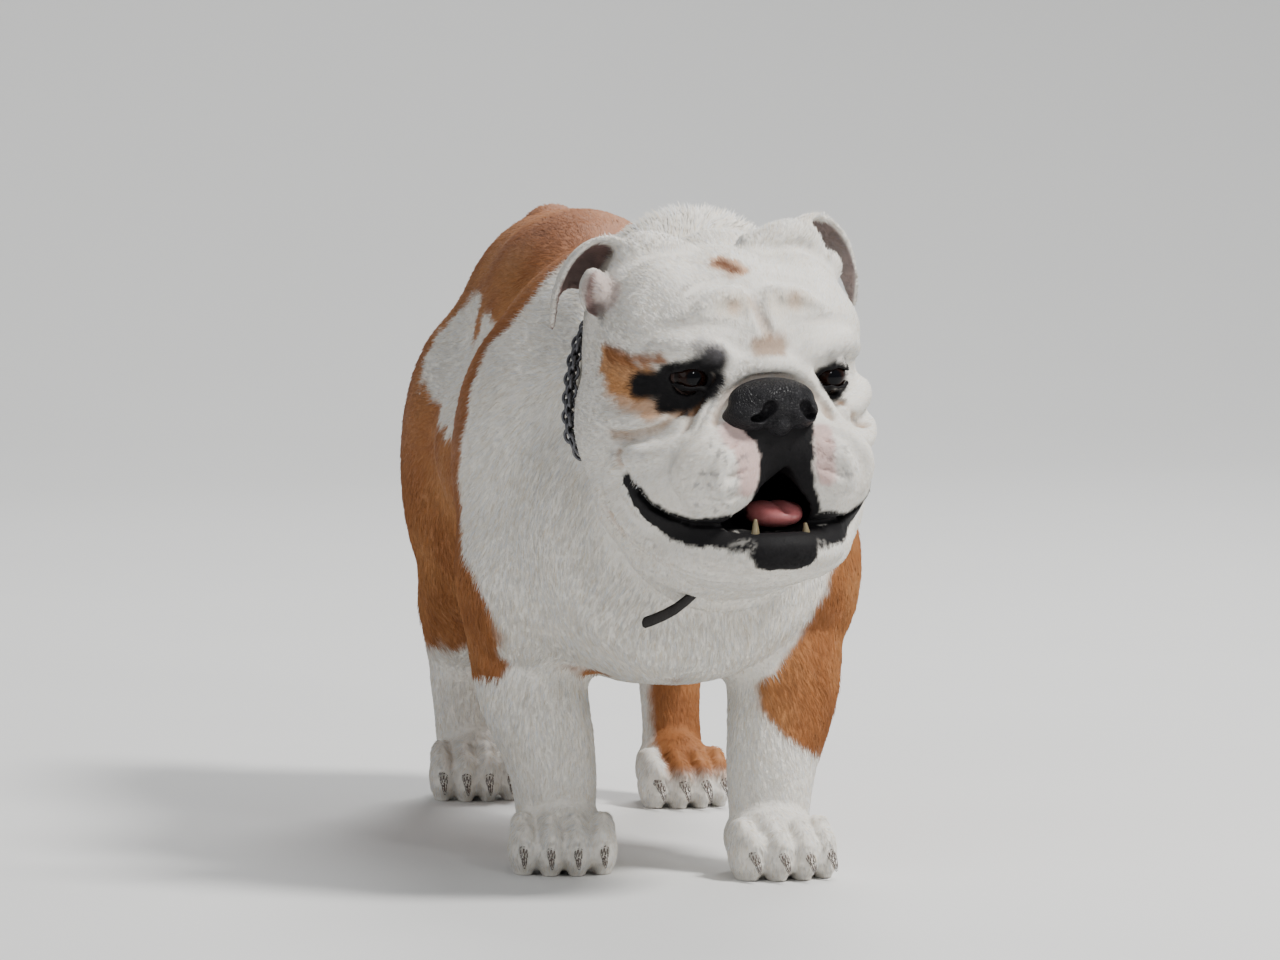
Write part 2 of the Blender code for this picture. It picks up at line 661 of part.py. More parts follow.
def make_head(studio, fine, coat):
    frame = head_frame()
    head = studio.piece("head", fine.copy(), coat)
    cut(head, studio.cutter("nape", slab(frame, COLLAR_LEAN, -REACH, NAPE_CUT)), "INTERSECT")
    for name, side, eye in (("left", 1, LEFT_EYE), ("right", -1, RIGHT_EYE)):
        ear = studio.piece(f"ear_{name}", fine.copy(), coat)
        cut(ear, studio.cutter(f"ear {name}", block(ear_outline(side), *EAR_SPAN, frame)), "INTERSECT")
        room = block(ear_outline(side, GAP), EAR_SPAN[0] - GAP, EAR_SPAN[1] + GAP, frame)
        cut(head, studio.cutter(f"skull {name}", room))
        dark = surface_material(f"{name} eye", (0.020, 0.011, 0.007), 0.15)
        studio.piece(f"eye_{name}", ball_mesh(eye, (EYE_RADIUS,) * 3, 16, frame), dark)
        socket = ball_mesh(eye, (EYE_RADIUS + GAP * 1.2,) * 3, 16, frame)
        cut(head, studio.cutter(f"socket {name}", socket))
    leather = nose_mesh()
    nose = studio.piece("nose", leather, surface_material("nose leather", (0.014, 0.013, 0.015), 0.35))
    cut(head, studio.cutter("nose", swollen(leather, GAP * 1.3)))
    for name, aside in (("left", 0.0154), ("right", -0.0100)):
        nostril = ball_mesh((aside, -0.099, 0.0150), (0.0048, 0.010, 0.0052), 10, frame)
        cut(nose, studio.cutter(f"nostril {name}", nostril))
    cut(head, studio.cutter("mouth line", mouth_sheet()), solver="MANIFOLD")
    cut(head, studio.cutter("parting of the lips", block(PARTING, -0.130, -0.058, frame)), solver="MANIFOLD")
    hollow = ball_mesh((0, -0.056, -0.045), (0.036, 0.034, 0.018), 16, frame)
    cut(head, studio.cutter("mouth", hollow), solver="MANIFOLD")
    shape = ((0.009, -0.060, -0.0545), (0.0180, 0.024, 0.0100))
    tongue = ball_mesh(*shape, 16, frame)
    studio.piece("tongue", tongue, surface_material("tongue", (0.62, 0.16, 0.17), 0.35))
    room = tuple(r + GAP * 1.5 for r in shape[1])
    cut(head, studio.cutter("tongue", ball_mesh(shape[0], room, 16, frame)), solver="MANIFOLD")
    for aside, top in ((-0.0170, -0.0545), (0.0190, -0.0580)):
        root, tip = (Vector((aside, -0.0895, z)) for z in (-0.0720, top))
        tooth = tube([frame @ root, frame @ root.lerp(tip, 0.6), frame @ tip], [0.0036, 0.0032, 0.0010], 8)
        cut(head, studio.cutter("tooth", tooth), "UNION", "MANIFOLD")
    return head


def make_legs(studio, middle, coat, tan_coat, torso):
    horn = surface_material("claw horn", (0.09, 0.07, 0.06), 0.4)
    ground = [(-REACH, -0.05), (-REACH, SOLE), (REACH, SOLE), (REACH, -0.05)]
    floor = studio.cutter("floor", block(ground, -REACH, 2 * REACH))
    kinds = (
        ("front", FRONT_FEET, FRONT_SPAN, (0.022, 0.108, 0.222), FRONT_PAW, coat),
        ("hind", HIND_FEET, HIND_SPAN, (0.006, 0.158, 0.250), HIND_PAW, tan_coat),
    )
    for kind, feet, span, slope, size, material in kinds:
        for name, foot in feet.items():
            side = 1 if name == "left" else -1
            outline = limb_outline(side, *slope)
            leg = studio.piece(f"leg_{kind}_{name}", middle.copy(), material)
            cut(leg, studio.cutter(f"{kind} {name}", block(outline, *span)), "INTERSECT")
            cut(leg, floor)
            room = block(limb_outline(side, *slope, GAP), span[0] - GAP, span[1] + GAP)
            cut(torso, studio.cutter(f"room for {kind} {name}", room))
            length, width, splay = size
            frame = paw_frame(foot, side * splay)
            for number, (lateral, reach) in enumerate(toes(length, width)):
                studio.piece(f"claw_{kind}_{name}_{number + 1}", claw(frame, lateral, reach, 0), horn)
                cut(leg, studio.cutter("claw bed", claw(frame, lateral, reach, GAP)))


def make_collar(studio, whole, neck):
    steel = surface_material("dark steel", (0.20, 0.20, 0.21), 0.35, 1.0)
    loop = collar_loop(whole)
    beads = [CHAIN_RADIUS * (0.62, 1.0, 1.0)[number % 3] for number in range(len(loop))]
    studio.piece("collar_chain", tube(loop, beads, 6, closed=True), steel)
    bed = loop[::3]
    groove = tube(bed, [CHAIN_RADIUS + GAP * 5] * len(bed), 8, closed=True)
    cut(neck, studio.cutter("collar", groove))


def make_strap(studio, whole, head, neck):
    """The loose end of a leather strap, coming out of the coat under the throat."""
    tree = surface_tree(whole, Matrix.Identity(4))
    root, normal, _, _ = tree.find_nearest(STRAP_ROOT)
    face = (normal + STRAP_TWIST).normalized()

    def rings(width, thickness):
        across = STRAP_RUN.cross(face).normalized() * width
        thick = face * thickness
        result = []
        for step, height in enumerate(STRAP_HEIGHTS):
            centre = root + STRAP_RUN * STRAP_STEP * step + normal * height
            low, high = centre - thick, centre + thick
            result.append([low - across, low + across, high + across, high - across])
        return result

    leather = surface_material("black leather", (0.018, 0.016, 0.015), 0.5)
    studio.piece("collar_strap", loft(rings(STRAP_HALF_WIDTH, STRAP_HALF_THICKNESS)), leather)
    bed = rings(STRAP_HALF_WIDTH + GAP, STRAP_HALF_THICKNESS + GAP)
    bed[0] = [point - STRAP_RUN * GAP for point in bed[0]]
    slot = studio.cutter("strap", loft(bed))
    cut(head, slot, solver="MANIFOLD")
    cut(neck, slot)


def centre_on_floor(studio):
    """Moves everything so that the pieces stand on z = 0 with their bounding box centred."""
    graph = bpy.context.evaluated_depsgraph_get()
    low, high = Vector((1, 1, 1)), Vector((-1, -1, -1))
    for obj in studio.pieces.objects:
        for corner in obj.evaluated_get(graph).bound_box:
            low = Vector(map(min, low, corner))
            high = Vector(map(max, high, corner))
    shift = Vector((-(low.x + high.x) / 2, -(low.y + high.y) / 2, -low.z))
    for obj in list(studio.pieces.objects) + list(studio.cutters.objects):
        obj.location = shift
    return shift


def main():
    for obj in list(bpy.data.objects):
        bpy.data.objects.remove(obj)
    studio = Studio()
    coat = surface_material("white coat", (0.80, 0.77, 0.70), 0.75)
    tan_coat = surface_material("red brown coat", (0.36, 0.17, 0.08), 0.75)
    whole = whole_dog()
    fine = decimated(whole, HEAD_DETAIL)
    middle = decimated(whole, LIMB_DETAIL)
    coarse = decimated(whole, TRUNK_DETAIL)

    head = make_head(studio, fine, coat)
    body = Matrix.Translation((0, SHOULDER_CUT, HEAD_CENTRE.z))
    neck = studio.piece("neck", coarse.copy(), coat)
    behind_head = slab(head_frame(), COLLAR_LEAN, NAPE_CUT + LEANING_GAP, 2 * REACH)
    cut(neck, studio.cutter("neck front", behind_head), "INTERSECT")
    cut(neck, studio.cutter("neck back", slab(body, SHOULDER_LEAN, -REACH, 0)), "INTERSECT")
    torso = studio.piece("torso", coarse.copy(), tan_coat)
    cut(torso, studio.cutter("shoulder", slab(body, SHOULDER_LEAN, LEANING_GAP, 2 * REACH)), "INTERSECT")
    tail = studio.piece("tail", middle.copy(), tan_coat)
    cut(tail, studio.cutter("tail", block(tail_outline(), *TAIL_SPAN)), "INTERSECT")
    room = block(tail_outline(GAP), TAIL_SPAN[0] - GAP, TAIL_SPAN[1] + GAP)
    cut(torso, studio.cutter("room for tail", room))
    make_legs(studio, middle, coat, tan_coat, torso)
    make_collar(studio, whole, neck)
    make_strap(studio, whole, head, neck)
    return centre_on_floor(studio)


if __name__ == "__main__":
    main()
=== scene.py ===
"""The looks of a life-size English bulldog: skin with its folds, short coat, eyes, nose, mouth and collar.

Metres, +Z up. The dog faces -Y and its own left is +X. The flesh is fused from the same masses as the
solids, finer, in a design frame whose origin lies on the ground between the front feet.
"""

import math

import bmesh
import bpy
import numpy as np
from mathutils import Matrix, Vector
from mathutils.bvhtree import BVHTree
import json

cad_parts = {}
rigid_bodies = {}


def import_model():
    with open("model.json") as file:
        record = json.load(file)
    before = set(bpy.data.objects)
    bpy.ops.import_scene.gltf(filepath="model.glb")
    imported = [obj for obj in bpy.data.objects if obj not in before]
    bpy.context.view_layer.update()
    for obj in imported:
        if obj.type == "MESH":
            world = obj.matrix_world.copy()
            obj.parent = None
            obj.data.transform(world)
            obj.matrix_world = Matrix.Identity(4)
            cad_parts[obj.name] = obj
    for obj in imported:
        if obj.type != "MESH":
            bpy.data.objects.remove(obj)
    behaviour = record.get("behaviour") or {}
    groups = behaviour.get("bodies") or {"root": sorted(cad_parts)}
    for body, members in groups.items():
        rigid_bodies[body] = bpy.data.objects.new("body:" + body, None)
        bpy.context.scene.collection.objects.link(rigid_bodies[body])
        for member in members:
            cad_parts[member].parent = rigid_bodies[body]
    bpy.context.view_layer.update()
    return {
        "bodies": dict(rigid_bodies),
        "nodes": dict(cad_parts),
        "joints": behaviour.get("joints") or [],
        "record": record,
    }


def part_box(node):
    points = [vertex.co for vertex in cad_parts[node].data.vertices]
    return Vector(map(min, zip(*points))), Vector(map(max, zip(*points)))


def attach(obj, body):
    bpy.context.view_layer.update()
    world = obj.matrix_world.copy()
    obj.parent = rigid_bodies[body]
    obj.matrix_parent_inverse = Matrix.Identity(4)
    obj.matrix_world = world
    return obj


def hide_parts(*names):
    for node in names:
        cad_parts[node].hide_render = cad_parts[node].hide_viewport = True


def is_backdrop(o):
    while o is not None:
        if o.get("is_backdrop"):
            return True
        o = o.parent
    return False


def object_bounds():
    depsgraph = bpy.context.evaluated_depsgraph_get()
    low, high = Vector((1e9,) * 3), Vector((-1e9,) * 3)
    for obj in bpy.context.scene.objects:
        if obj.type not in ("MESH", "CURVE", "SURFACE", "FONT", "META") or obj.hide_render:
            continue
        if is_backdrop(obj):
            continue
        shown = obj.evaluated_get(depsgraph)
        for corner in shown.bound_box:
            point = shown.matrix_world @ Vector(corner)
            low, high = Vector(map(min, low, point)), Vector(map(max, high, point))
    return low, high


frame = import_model()

HEAD_CENTRE = Vector((0.016, -0.100, 0.300))  # between the cheeks, at the height of the mouth
HEAD_TURN = math.radians(12.5)  # to the dog's left
RIGHT_EYE = Vector((-0.0457, -0.0520, 0.0343))  # centres of the eyeballs, in the head's frame
LEFT_EYE = Vector((0.0497, -0.0520, 0.0313))
EYE_RADIUS = 0.0125
COLLAR_DEPTH = 0.050  # where the collar lies, along the head's depth
COLLAR_LEAN = 0.25  # how far the collar leans back for each metre up
COLLAR_PINCH = 0.20  # share of the neck's height that the collar draws in
SIDE_PINCH = 0.03  # share of its width
THROAT_PINCH = 0.15  # and how much more of its width below the jaw
COLLAR_WIDTH = 0.016
CHAIN_PITCH = 0.0125
CHAIN_RADIUS = 0.0046
STRAP_ROOT = Vector((0.002, -0.112, 0.213))  # where the loose end of the strap leaves the coat
STRAP_RUN = Vector((-0.90, -0.12, -0.28)).normalized()
STRAP_TWIST = Vector((0, -0.9, 0.3))  # how its face leans forwards, off the skin's own normal
STRAP_STEP = 0.0078
STRAP_HEIGHTS = (-0.0060, -0.0010, 0.0025, 0.0040, 0.0045, 0.0045)  # off the skin at each step
STRAP_HALF_WIDTH = 0.0040
STRAP_HALF_THICKNESS = 0.0013
EAR_THICKNESS = 0.0052
SOLE = 0.0008  # height at which the soles are cut flat

TRUNK_VOXEL = 0.008
LIMB_VOXEL = 0.004
SKIN_VOXEL = 0.0017
COAT_DEPTH = 0.0011  # how far the skin lies inside the solids where the coat covers it
CLAW_RISE = 0.0016  # how much further in it lies beside a claw
DEEPEST_CREASE = 0.0034  # no crossing of strokes sinks the skin further than this
TUFTS = 300000


def new_object(name, mesh, collection=None):
    obj = bpy.data.objects.new(name, mesh)
    (collection or bpy.context.scene.collection).objects.link(obj)
    return obj


def evaluated_mesh(obj):
    """The object's mesh with its modifiers applied."""
    graph = bpy.context.evaluated_depsgraph_get()
    return bpy.data.meshes.new_from_object(obj.evaluated_get(graph))


def remove(obj):
    data = obj.data
    bpy.data.objects.remove(obj)
    if isinstance(data, bpy.types.Mesh):
        bpy.data.meshes.remove(data)
    else:
        bpy.data.curves.remove(data)


def mirrored(points):
    return [(-x, y, z) for x, y, z in points]


def turned(degrees):
    """A rotation by three angles about X, Y and Z."""
    x, y, z = (math.radians(a) for a in degrees)
    return Matrix.Rotation(z, 4, "Z") @ Matrix.Rotation(y, 4, "Y") @ Matrix.Rotation(x, 4, "X")


class Clay:
    """Masses gathered in one mesh, to be fused and softened together."""

    def __init__(self, frame=Matrix.Identity(4)):
        self.bm = bmesh.new()
        self.frame = frame

    def take(self, mesh):
        """Adds a finished mesh as it is."""
        self.bm.from_mesh(mesh)

    def ball(self, centre, radii, turn=(0, 0, 0)):
        """An ellipsoid with those half widths along X, Y and Z, then turned."""
        place = self.frame @ Matrix.Translation(centre) @ turned(turn) @ Matrix.Diagonal((*radii, 1))
        bmesh.ops.create_icosphere(self.bm, subdivisions=4, radius=1, matrix=place)

    def pair(self, centre, radii, turn=(0, 0, 0)):
        """An ellipsoid on each side of the middle plane."""
        x, y, z = centre
        self.ball((x, y, z), radii, turn)
        self.ball((-x, y, z), radii, (turn[0], -turn[1], -turn[2]))

    def roll(self, points, radii):
        """A smooth tube through the points, with a radius at each and round ends."""
        curve = bpy.data.curves.new("roll", "CURVE")
        curve.dimensions = "3D"
        curve.bevel_depth = 1
        curve.bevel_resolution = 3
        curve.resolution_u = 6
        curve.use_fill_caps = True
        spline = curve.splines.new("BEZIER")
        spline.bezier_points.add(len(points) - 1)
        for knot, point, radius in zip(spline.bezier_points, points, radii):
            knot.co = point
            knot.radius = radius
            knot.handle_left_type = knot.handle_right_type = "AUTO"
        guide = new_object("roll", curve)
        mesh = evaluated_mesh(guide)
        mesh.transform(self.frame)
        self.bm.from_mesh(mesh)
        bpy.data.meshes.remove(mesh)
        remove(guide)
        for end in (0, -1):
            self.ball(points[end], (radii[end],) * 3)

    def fold(self, tree, points, radius, height):
        """A fold that stands up from the surface by that height and fades out at its ends."""
        centres = []
        for number, point in enumerate(points):
            place, normal, _, _ = tree.find_nearest(point)
            rise = height * math.sin(math.pi * (number + 0.35) / (len(points) - 0.3))
            centres.append(place + normal * (rise - radius))
        self.roll(centres, [radius] * len(points))

    def fold_pair(self, tree, points, radius, height):
        self.fold(tree, points, radius, height)
        self.fold(tree, mirrored(points), radius, height)

    def settled(self, voxel, passes):
        """The masses fused at that voxel size and softened by that many passes."""
        mesh = bpy.data.meshes.new("clay")
        self.bm.to_mesh(mesh)
        self.bm.free()
        lump = new_object("clay", mesh)
        fuse = lump.modifiers.new("Fuse", "REMESH")
        fuse.mode = "VOXEL"
        fuse.voxel_size = voxel
        soften = lump.modifiers.new("Soften", "SMOOTH")
        soften.factor = 0.5
        soften.iterations = passes
        result = evaluated_mesh(lump)
        remove(lump)
        return result


def head_frame():
    return Matrix.Translation(HEAD_CENTRE) @ Matrix.Rotation(HEAD_TURN, 4, "Z")


def trunk():
    """Body, shoulders and thighs, with the broad blends of big muscles."""
    clay = Clay()
    clay.ball((0, 0.120, 0.250), (0.115, 0.200, 0.128), (-3, 0, 0))  # rib cage
    clay.ball((0, -0.015, 0.226), (0.108, 0.106, 0.106))  # chest
    clay.ball((0, 0.050, 0.185), (0.090, 0.130, 0.070))  # brisket
    clay.ball((0, 0.130, 0.306), (0.078, 0.200, 0.090))  # withers
    clay.ball((0, 0.285, 0.308), (0.074, 0.160, 0.100))  # loin
    clay.ball((0, 0.250, 0.250), (0.106, 0.140, 0.085))  # belly
    clay.ball((0, 0.360, 0.302), (0.074, 0.092, 0.100))  # rump
    clay.pair((0.076, 0.055, 0.262), (0.054, 0.092, 0.100), (10, 0, 0))  # shoulder
    clay.pair((0.088, 0.030, 0.195), (0.046, 0.066, 0.075))  # upper arm
    clay.pair((0.062, 0.360, 0.228), (0.047, 0.084, 0.108), (-12, 0, 0))  # thigh
    clay.roll([(0, 0.06, 0.300), (0.004, -0.015, 0.312), (0.012, -0.070, 0.312)], [0.110, 0.092, 0.078])
    clay.ball((0.020, 0.000, 0.346), (0.078, 0.096, 0.085))  # nape
    clay.ball((0.010, -0.062, 0.245), (0.078, 0.074, 0.076))  # throat
    return clay.settled(TRUNK_VOXEL, 16)


def paw_frame(foot, splay):
    """The place of a foot on the ground, with its toes along -Y, turned by splay degrees."""
    return Matrix.Translation((*foot, 0)) @ Matrix.Rotation(math.radians(splay), 4, "Z")


def toes(length, width):
    """Where the four toes lie: how far sideways and how far forwards."""
    return [(step * width * 0.27, length * (0.30 - 0.045 * step * step)) for step in (-1.5, -0.5, 0.5, 1.5)]


def paw(clay, foot, length, width, splay):
    """A foot with four arched toes."""
    clay.frame = paw_frame(foot, splay)
    clay.ball((0, 0.012, 0.024), (width * 0.46, length * 0.42, 0.026))
    for lateral, reach in toes(length, width):
        fan = -90 * lateral / width * 0.25
        clay.ball((lateral, -reach, 0.017), (width * 0.155, length * 0.24, 0.019), (14, 0, fan))
        clay.ball((lateral, -reach + 0.010, 0.028), (width * 0.14, 0.014, 0.013))


def front_leg(clay, side, elbow, wrist, foot):
    """Forearm from the elbow down to the foot. side is 1 for the dog's left."""
    middle = (Vector(elbow) + Vector(wrist)) / 2 + Vector((side * 0.004, 0, 0))
    ankle = (foot[0], foot[1] + 0.020, 0.030)
    clay.roll([elbow, middle, wrist, ankle], [0.042, 0.038, 0.030, 0.027])


def hind_leg(clay, stifle, hock, foot):
    shin = (Vector(stifle) + Vector(hock)) / 2
    heel = (hock[0], hock[1] - 0.006, 0.060)
    ankle = (foot[0], foot[1] + 0.022, 0.028)
    clay.roll([stifle, shin, hock], [0.038, 0.034, 0.024])
    clay.roll([hock, heel, ankle], [0.024, 0.021, 0.022])


FRONT_FEET = {"right": (-0.068, 0.006), "left": (0.062, -0.046)}
HIND_FEET = {"right": (-0.050, 0.418), "left": (0.077, 0.352)}
FRONT_PAW = (0.086, 0.064, 8)  # length, width, and degrees turned outwards
HIND_PAW = (0.078, 0.056, 6)


def head_masses():
    """The skull, cheeks and upper lips, in the head's own frame, where the face looks along -Y."""
    clay = Clay()
    clay.ball((0, 0.012, 0.044), (0.087, 0.084, 0.068))  # cranium
    clay.pair((0.044, 0.010, 0.062), (0.042, 0.062, 0.048))  # temple
    clay.pair((0.030, -0.022, 0.054), (0.046, 0.046, 0.044))  # brow
    clay.pair((0.058, -0.012, 0.056), (0.030, 0.040, 0.034))  # side of the forehead
    clay.pair((0.051, 0.004, -0.002), (0.045, 0.062, 0.064))  # cheek
    clay.pair((0.048, -0.008, -0.045), (0.041, 0.056, 0.042))  # jowl
    clay.ball((0, -0.052, -0.002), (0.056, 0.040, 0.040))  # bridge
    clay.pair((0.036, -0.062, -0.026), (0.035, 0.038, 0.038))  # upper lip
    clay.pair((0.053, -0.042, -0.030), (0.030, 0.040, 0.034))  # side of the upper lip
    clay.ball((0, 0.004, -0.072), (0.072, 0.076, 0.044))  # under the jaw
    return clay.settled(LIMB_VOXEL, 8)


def jaw_masses():
    """The undershot lower jaw, in the head's own frame."""
    clay = Clay()
    clay.ball((0, -0.035, -0.086), (0.054, 0.056, 0.020))  # floor of the mouth
    half = [(-0.066, -0.022, -0.058), (-0.053, -0.052, -0.072), (-0.033, -0.079, -0.076)]
    rim = half + [(0, -0.093, -0.0755)] + mirrored(half)[::-1]
    clay.roll(rim, [0.012, 0.013, 0.014, 0.014, 0.014, 0.013, 0.012])  # lower lip
    return clay.settled(LIMB_VOXEL, 3)


def body_with_limbs():
    clay = Clay()
    clay.take(trunk())
    front_leg(clay, -1, (-0.086, 0.045, 0.175), (-0.070, 0.025, 0.062), FRONT_FEET["right"])
    front_leg(clay, 1, (0.080, 0.020, 0.175), (0.064, -0.020, 0.062), FRONT_FEET["left"])
    hind_leg(clay, (-0.064, 0.345, 0.165), (-0.055, 0.440, 0.100), HIND_FEET["right"])
    hind_leg(clay, (0.070, 0.310, 0.165), (0.077, 0.386, 0.100), HIND_FEET["left"])
    clay.roll([(0.004, 0.395, 0.357), (0.005, 0.428, 0.376), (0.006, 0.446, 0.362)], [0.034, 0.024, 0.016])
    for masses in (head_masses(), jaw_masses()):
        masses.transform(head_frame())
        clay.take(masses)
    return clay.settled(LIMB_VOXEL, 6)


FOLDS = (
    # brow
    ([(-0.076, -0.036, 0.046), (-0.054, -0.058, 0.052), (-0.032, -0.064, 0.047), (-0.016, -0.068, 0.040)],
     0.011, 0.008),
    # forehead
    ([(-0.046, -0.056, 0.072), (-0.027, -0.055, 0.084), (-0.010, -0.055, 0.084), (-0.006, -0.066, 0.066)],
     0.009, 0.005),
    # side of the muzzle
    ([(-0.034, -0.084, 0.004), (-0.054, -0.086, -0.008), (-0.064, -0.080, -0.026), (-0.056, -0.082, -0.046)],
     0.011, 0.006),
    # upper lip
    ([(-0.026, -0.094, -0.006), (-0.041, -0.096, -0.015), (-0.046, -0.096, -0.032), (-0.036, -0.094, -0.046)],
     0.008, 0.0045),
    # loose skin along the jaw
    ([(-0.098, 0.002, -0.026), (-0.092, -0.022, -0.052), (-0.074, -0.040, -0.078), (-0.050, -0.066, -0.094),
      (-0.020, -0.080, -0.098)],
     0.013, 0.006),
)
CHEEK_FOLDS = (
    ([(-0.050, -0.066, 0.012), (-0.068, -0.055, 0.006), (-0.088, -0.034, 0.006), (-0.096, -0.014, 0.010)],
     0.009, 0.006),
    ([(-0.056, -0.074, -0.006), (-0.074, -0.058, -0.014), (-0.090, -0.036, -0.018), (-0.094, -0.020, -0.030)],
     0.010, 0.006),
    ([(0.052, -0.064, 0.010), (0.070, -0.055, 0.012), (0.088, -0.036, 0.020), (0.096, -0.016, 0.026)],
     0.010, 0.008),
    ([(0.056, -0.074, -0.006), (0.074, -0.058, -0.008), (0.090, -0.038, -0.004), (0.097, -0.018, -0.002)],
     0.010, 0.008),
)


def face_folds(clay, tree):
    """The folds of the face, laid along the surface of the head in its own frame."""
    rope = [(-0.052, -0.080, 0.000), (-0.040, -0.072, 0.020), (-0.024, -0.071, 0.035)]
    clay.fold(tree, rope + [(0, -0.071, 0.041)] + mirrored(rope)[::-1], 0.010, 0.008)
    for path, radius, height in FOLDS:
        clay.fold_pair(tree, path, radius, height)
    for path, radius, height in CHEEK_FOLDS:
        clay.fold(tree, path, radius, height)


def lids(clay):
    """An upper and a lower lid on each eye, as thick arcs just outside the eyeball."""
    reach = EYE_RADIUS + 0.0012
    for side, centre in ((-1, RIGHT_EYE), (1, LEFT_EYE)):
        for up, radius in ((33, 0.0034), (-31, 0.0028)):
            points = []
            for step in range(7):
                around = math.radians(-62 + 124 * step / 6)
                tilt = math.radians(up) * math.cos(around) ** 0.8
                aside = around + side * 0.18
                way = Vector((math.sin(aside), -math.cos(aside), math.tan(tilt)))
                points.append(centre + way.normalized() * reach)
            clay.roll(points, [radius * 0.8] + [radius] * 5 + [radius * 0.8])


EAR_FRONT = (
    (0.054, -0.006, 0.106), (0.072, 0.004, 0.122), (0.093, 0.010, 0.115), (0.107, 0.018, 0.088),
    (0.106, 0.026, 0.058),
)
EAR_BACK = (
    (0.078, 0.034, 0.078), (0.088, 0.038, 0.086), (0.096, 0.038, 0.081), (0.102, 0.036, 0.069),
    (0.104, 0.030, 0.056),
)


def ear_sheet(side, lift, width):
    """The folded back flap of one ear, as a thick sheet.

    side is 1 for the left, lift pricks the flap up and width is the share of the full flap that shows.
    """
    across = 5
    bm = bmesh.new()
    rows = []
    for number, (near, far) in enumerate(zip(EAR_FRONT, EAR_BACK)):
        along = number / (len(EAR_FRONT) - 1)
        row = []
        for step in range(across):
            share = width * step / (across - 1)
            point = Vector(near).lerp(Vector(far), share)
            bulge = 4 * share * (1 - share) * (1 - along * 0.7)
            point += Vector((-0.002, 0.014, 0.010)) * bulge
            point += Vector((along - 1, 0, 1 - 0.4 * along)) * lift
            row.append(bm.verts.new((side * point.x, point.y, point.z)))
        rows.append(row)
    for low, high in zip(rows, rows[1:]):
        for step in range(across - 1):
            bm.faces.new((low[step], low[step + 1], high[step + 1], high[step]))
    mesh = bpy.data.meshes.new("ear")
    bm.to_mesh(mesh)
    bm.free()
    sheet = new_object("ear", mesh)
    smooth = sheet.modifiers.new("Round", "SUBSURF")
    smooth.levels = smooth.render_levels = 2
    thick = sheet.modifiers.new("Thickness", "SOLIDIFY")
    thick.thickness = EAR_THICKNESS
    thick.offset = 0
    result = evaluated_mesh(sheet)
    remove(sheet)
    result.transform(head_frame())
    return result


def ear_roots(clay):
    """The skin that rises from the skull into each ear, higher on the lifted left one."""
    path = [(0.022, 0.104), (0.040, 0.109), (0.056, 0.110), (0.065, 0.099), (0.072, 0.086)]
    for side, lift in ((-1, 0.0), (1, 0.005)):
        clay.roll([(side * x, 0.006, z + lift) for x, z in path], [0.010, 0.012, 0.012, 0.011, 0.010])


def hidden(height):
    """How deep the collar is lost in loose skin, 0 to 1, at a height in the head's frame."""
    share = min(max((-0.008 - height) / 0.035, (height - 0.072) / 0.030, 0), 1)
    return share * share * (3 - 2 * share)


def pinch(mesh, frame):
    """Draws the neck in where the collar lies, so that loose skin stands up behind it."""
    back = frame.inverted()
    for vertex in mesh.vertices:
        local = back @ vertex.co
        off = local.y - COLLAR_DEPTH - COLLAR_LEAN * local.z
        share = math.exp(-((off / COLLAR_WIDTH) ** 2))
        local.x *= 1 - share * (SIDE_PINCH + THROAT_PINCH * hidden(local.z))
        local.z *= 1 - share * COLLAR_PINCH
        vertex.co = frame @ local


def surface_tree(mesh, frame):
    """A tree for finding the nearest surface, in the coordinates of the frame."""
    back = frame.inverted()
    return BVHTree.FromPolygons([back @ v.co for v in mesh.vertices], [p.vertices[:] for p in mesh.polygons])


def loft(rings, closed=False):
    """A closed skin over rings of points that all have the same count. closed joins the last to the first."""
    bm = bmesh.new()
    rows = [[bm.verts.new(point) for point in ring] for ring in rings]
    pairs = list(zip(rows, rows[1:]))
    if closed:
        pairs.append((rows[-1], rows[0]))
    else:
        bm.faces.new(rows[0])
        bm.faces.new(rows[-1][::-1])
    for near, far in pairs:
        for step in range(len(near)):
            after = (step + 1) % len(near)
            bm.faces.new((near[after], near[step], far[step], far[after]))
    bmesh.ops.recalc_face_normals(bm, faces=bm.faces)
    mesh = bpy.data.meshes.new("loft")
    bm.to_mesh(mesh)
    bm.free()
    return mesh


def tube(points, radii, sides, closed=False):
    """A tube round the points with a radius at each."""
    rings = []
    count = len(points)
    for number, (point, radius) in enumerate(zip(points, radii)):
        before = points[(number - 1) % count] if closed or number > 0 else point
        after = points[(number + 1) % count] if closed or number < count - 1 else point
        along = (after - before).normalized()
        across = along.cross(Vector((0, 0, 1))).normalized()
        if across.length < 0.5:
            across = Vector((1, 0, 0))
        up = across.cross(along)
        angles = [2 * math.pi * (step + 0.5) / sides for step in range(sides)]
        rings.append([point + (across * math.cos(a) + up * math.sin(a)) * radius for a in angles])
    return loft(rings, closed)


def ball_mesh(centre, radii, segments, frame=Matrix.Identity(4)):
    bm = bmesh.new()
    place = frame @ Matrix.Translation(centre) @ Matrix.Diagonal((*radii, 1))
    bmesh.ops.create_uvsphere(bm, u_segments=segments, v_segments=segments // 2, radius=1, matrix=place)
    mesh = bpy.data.meshes.new("ball")
    bm.to_mesh(mesh)
    bm.free()
    return mesh


def block(outline, low, high, frame=Matrix.Identity(4)):
    """A block with that outline in XZ, reaching from low to high along Y."""
    return loft([[frame @ Vector((x, y, z)) for x, z in outline] for y in (low, high)])


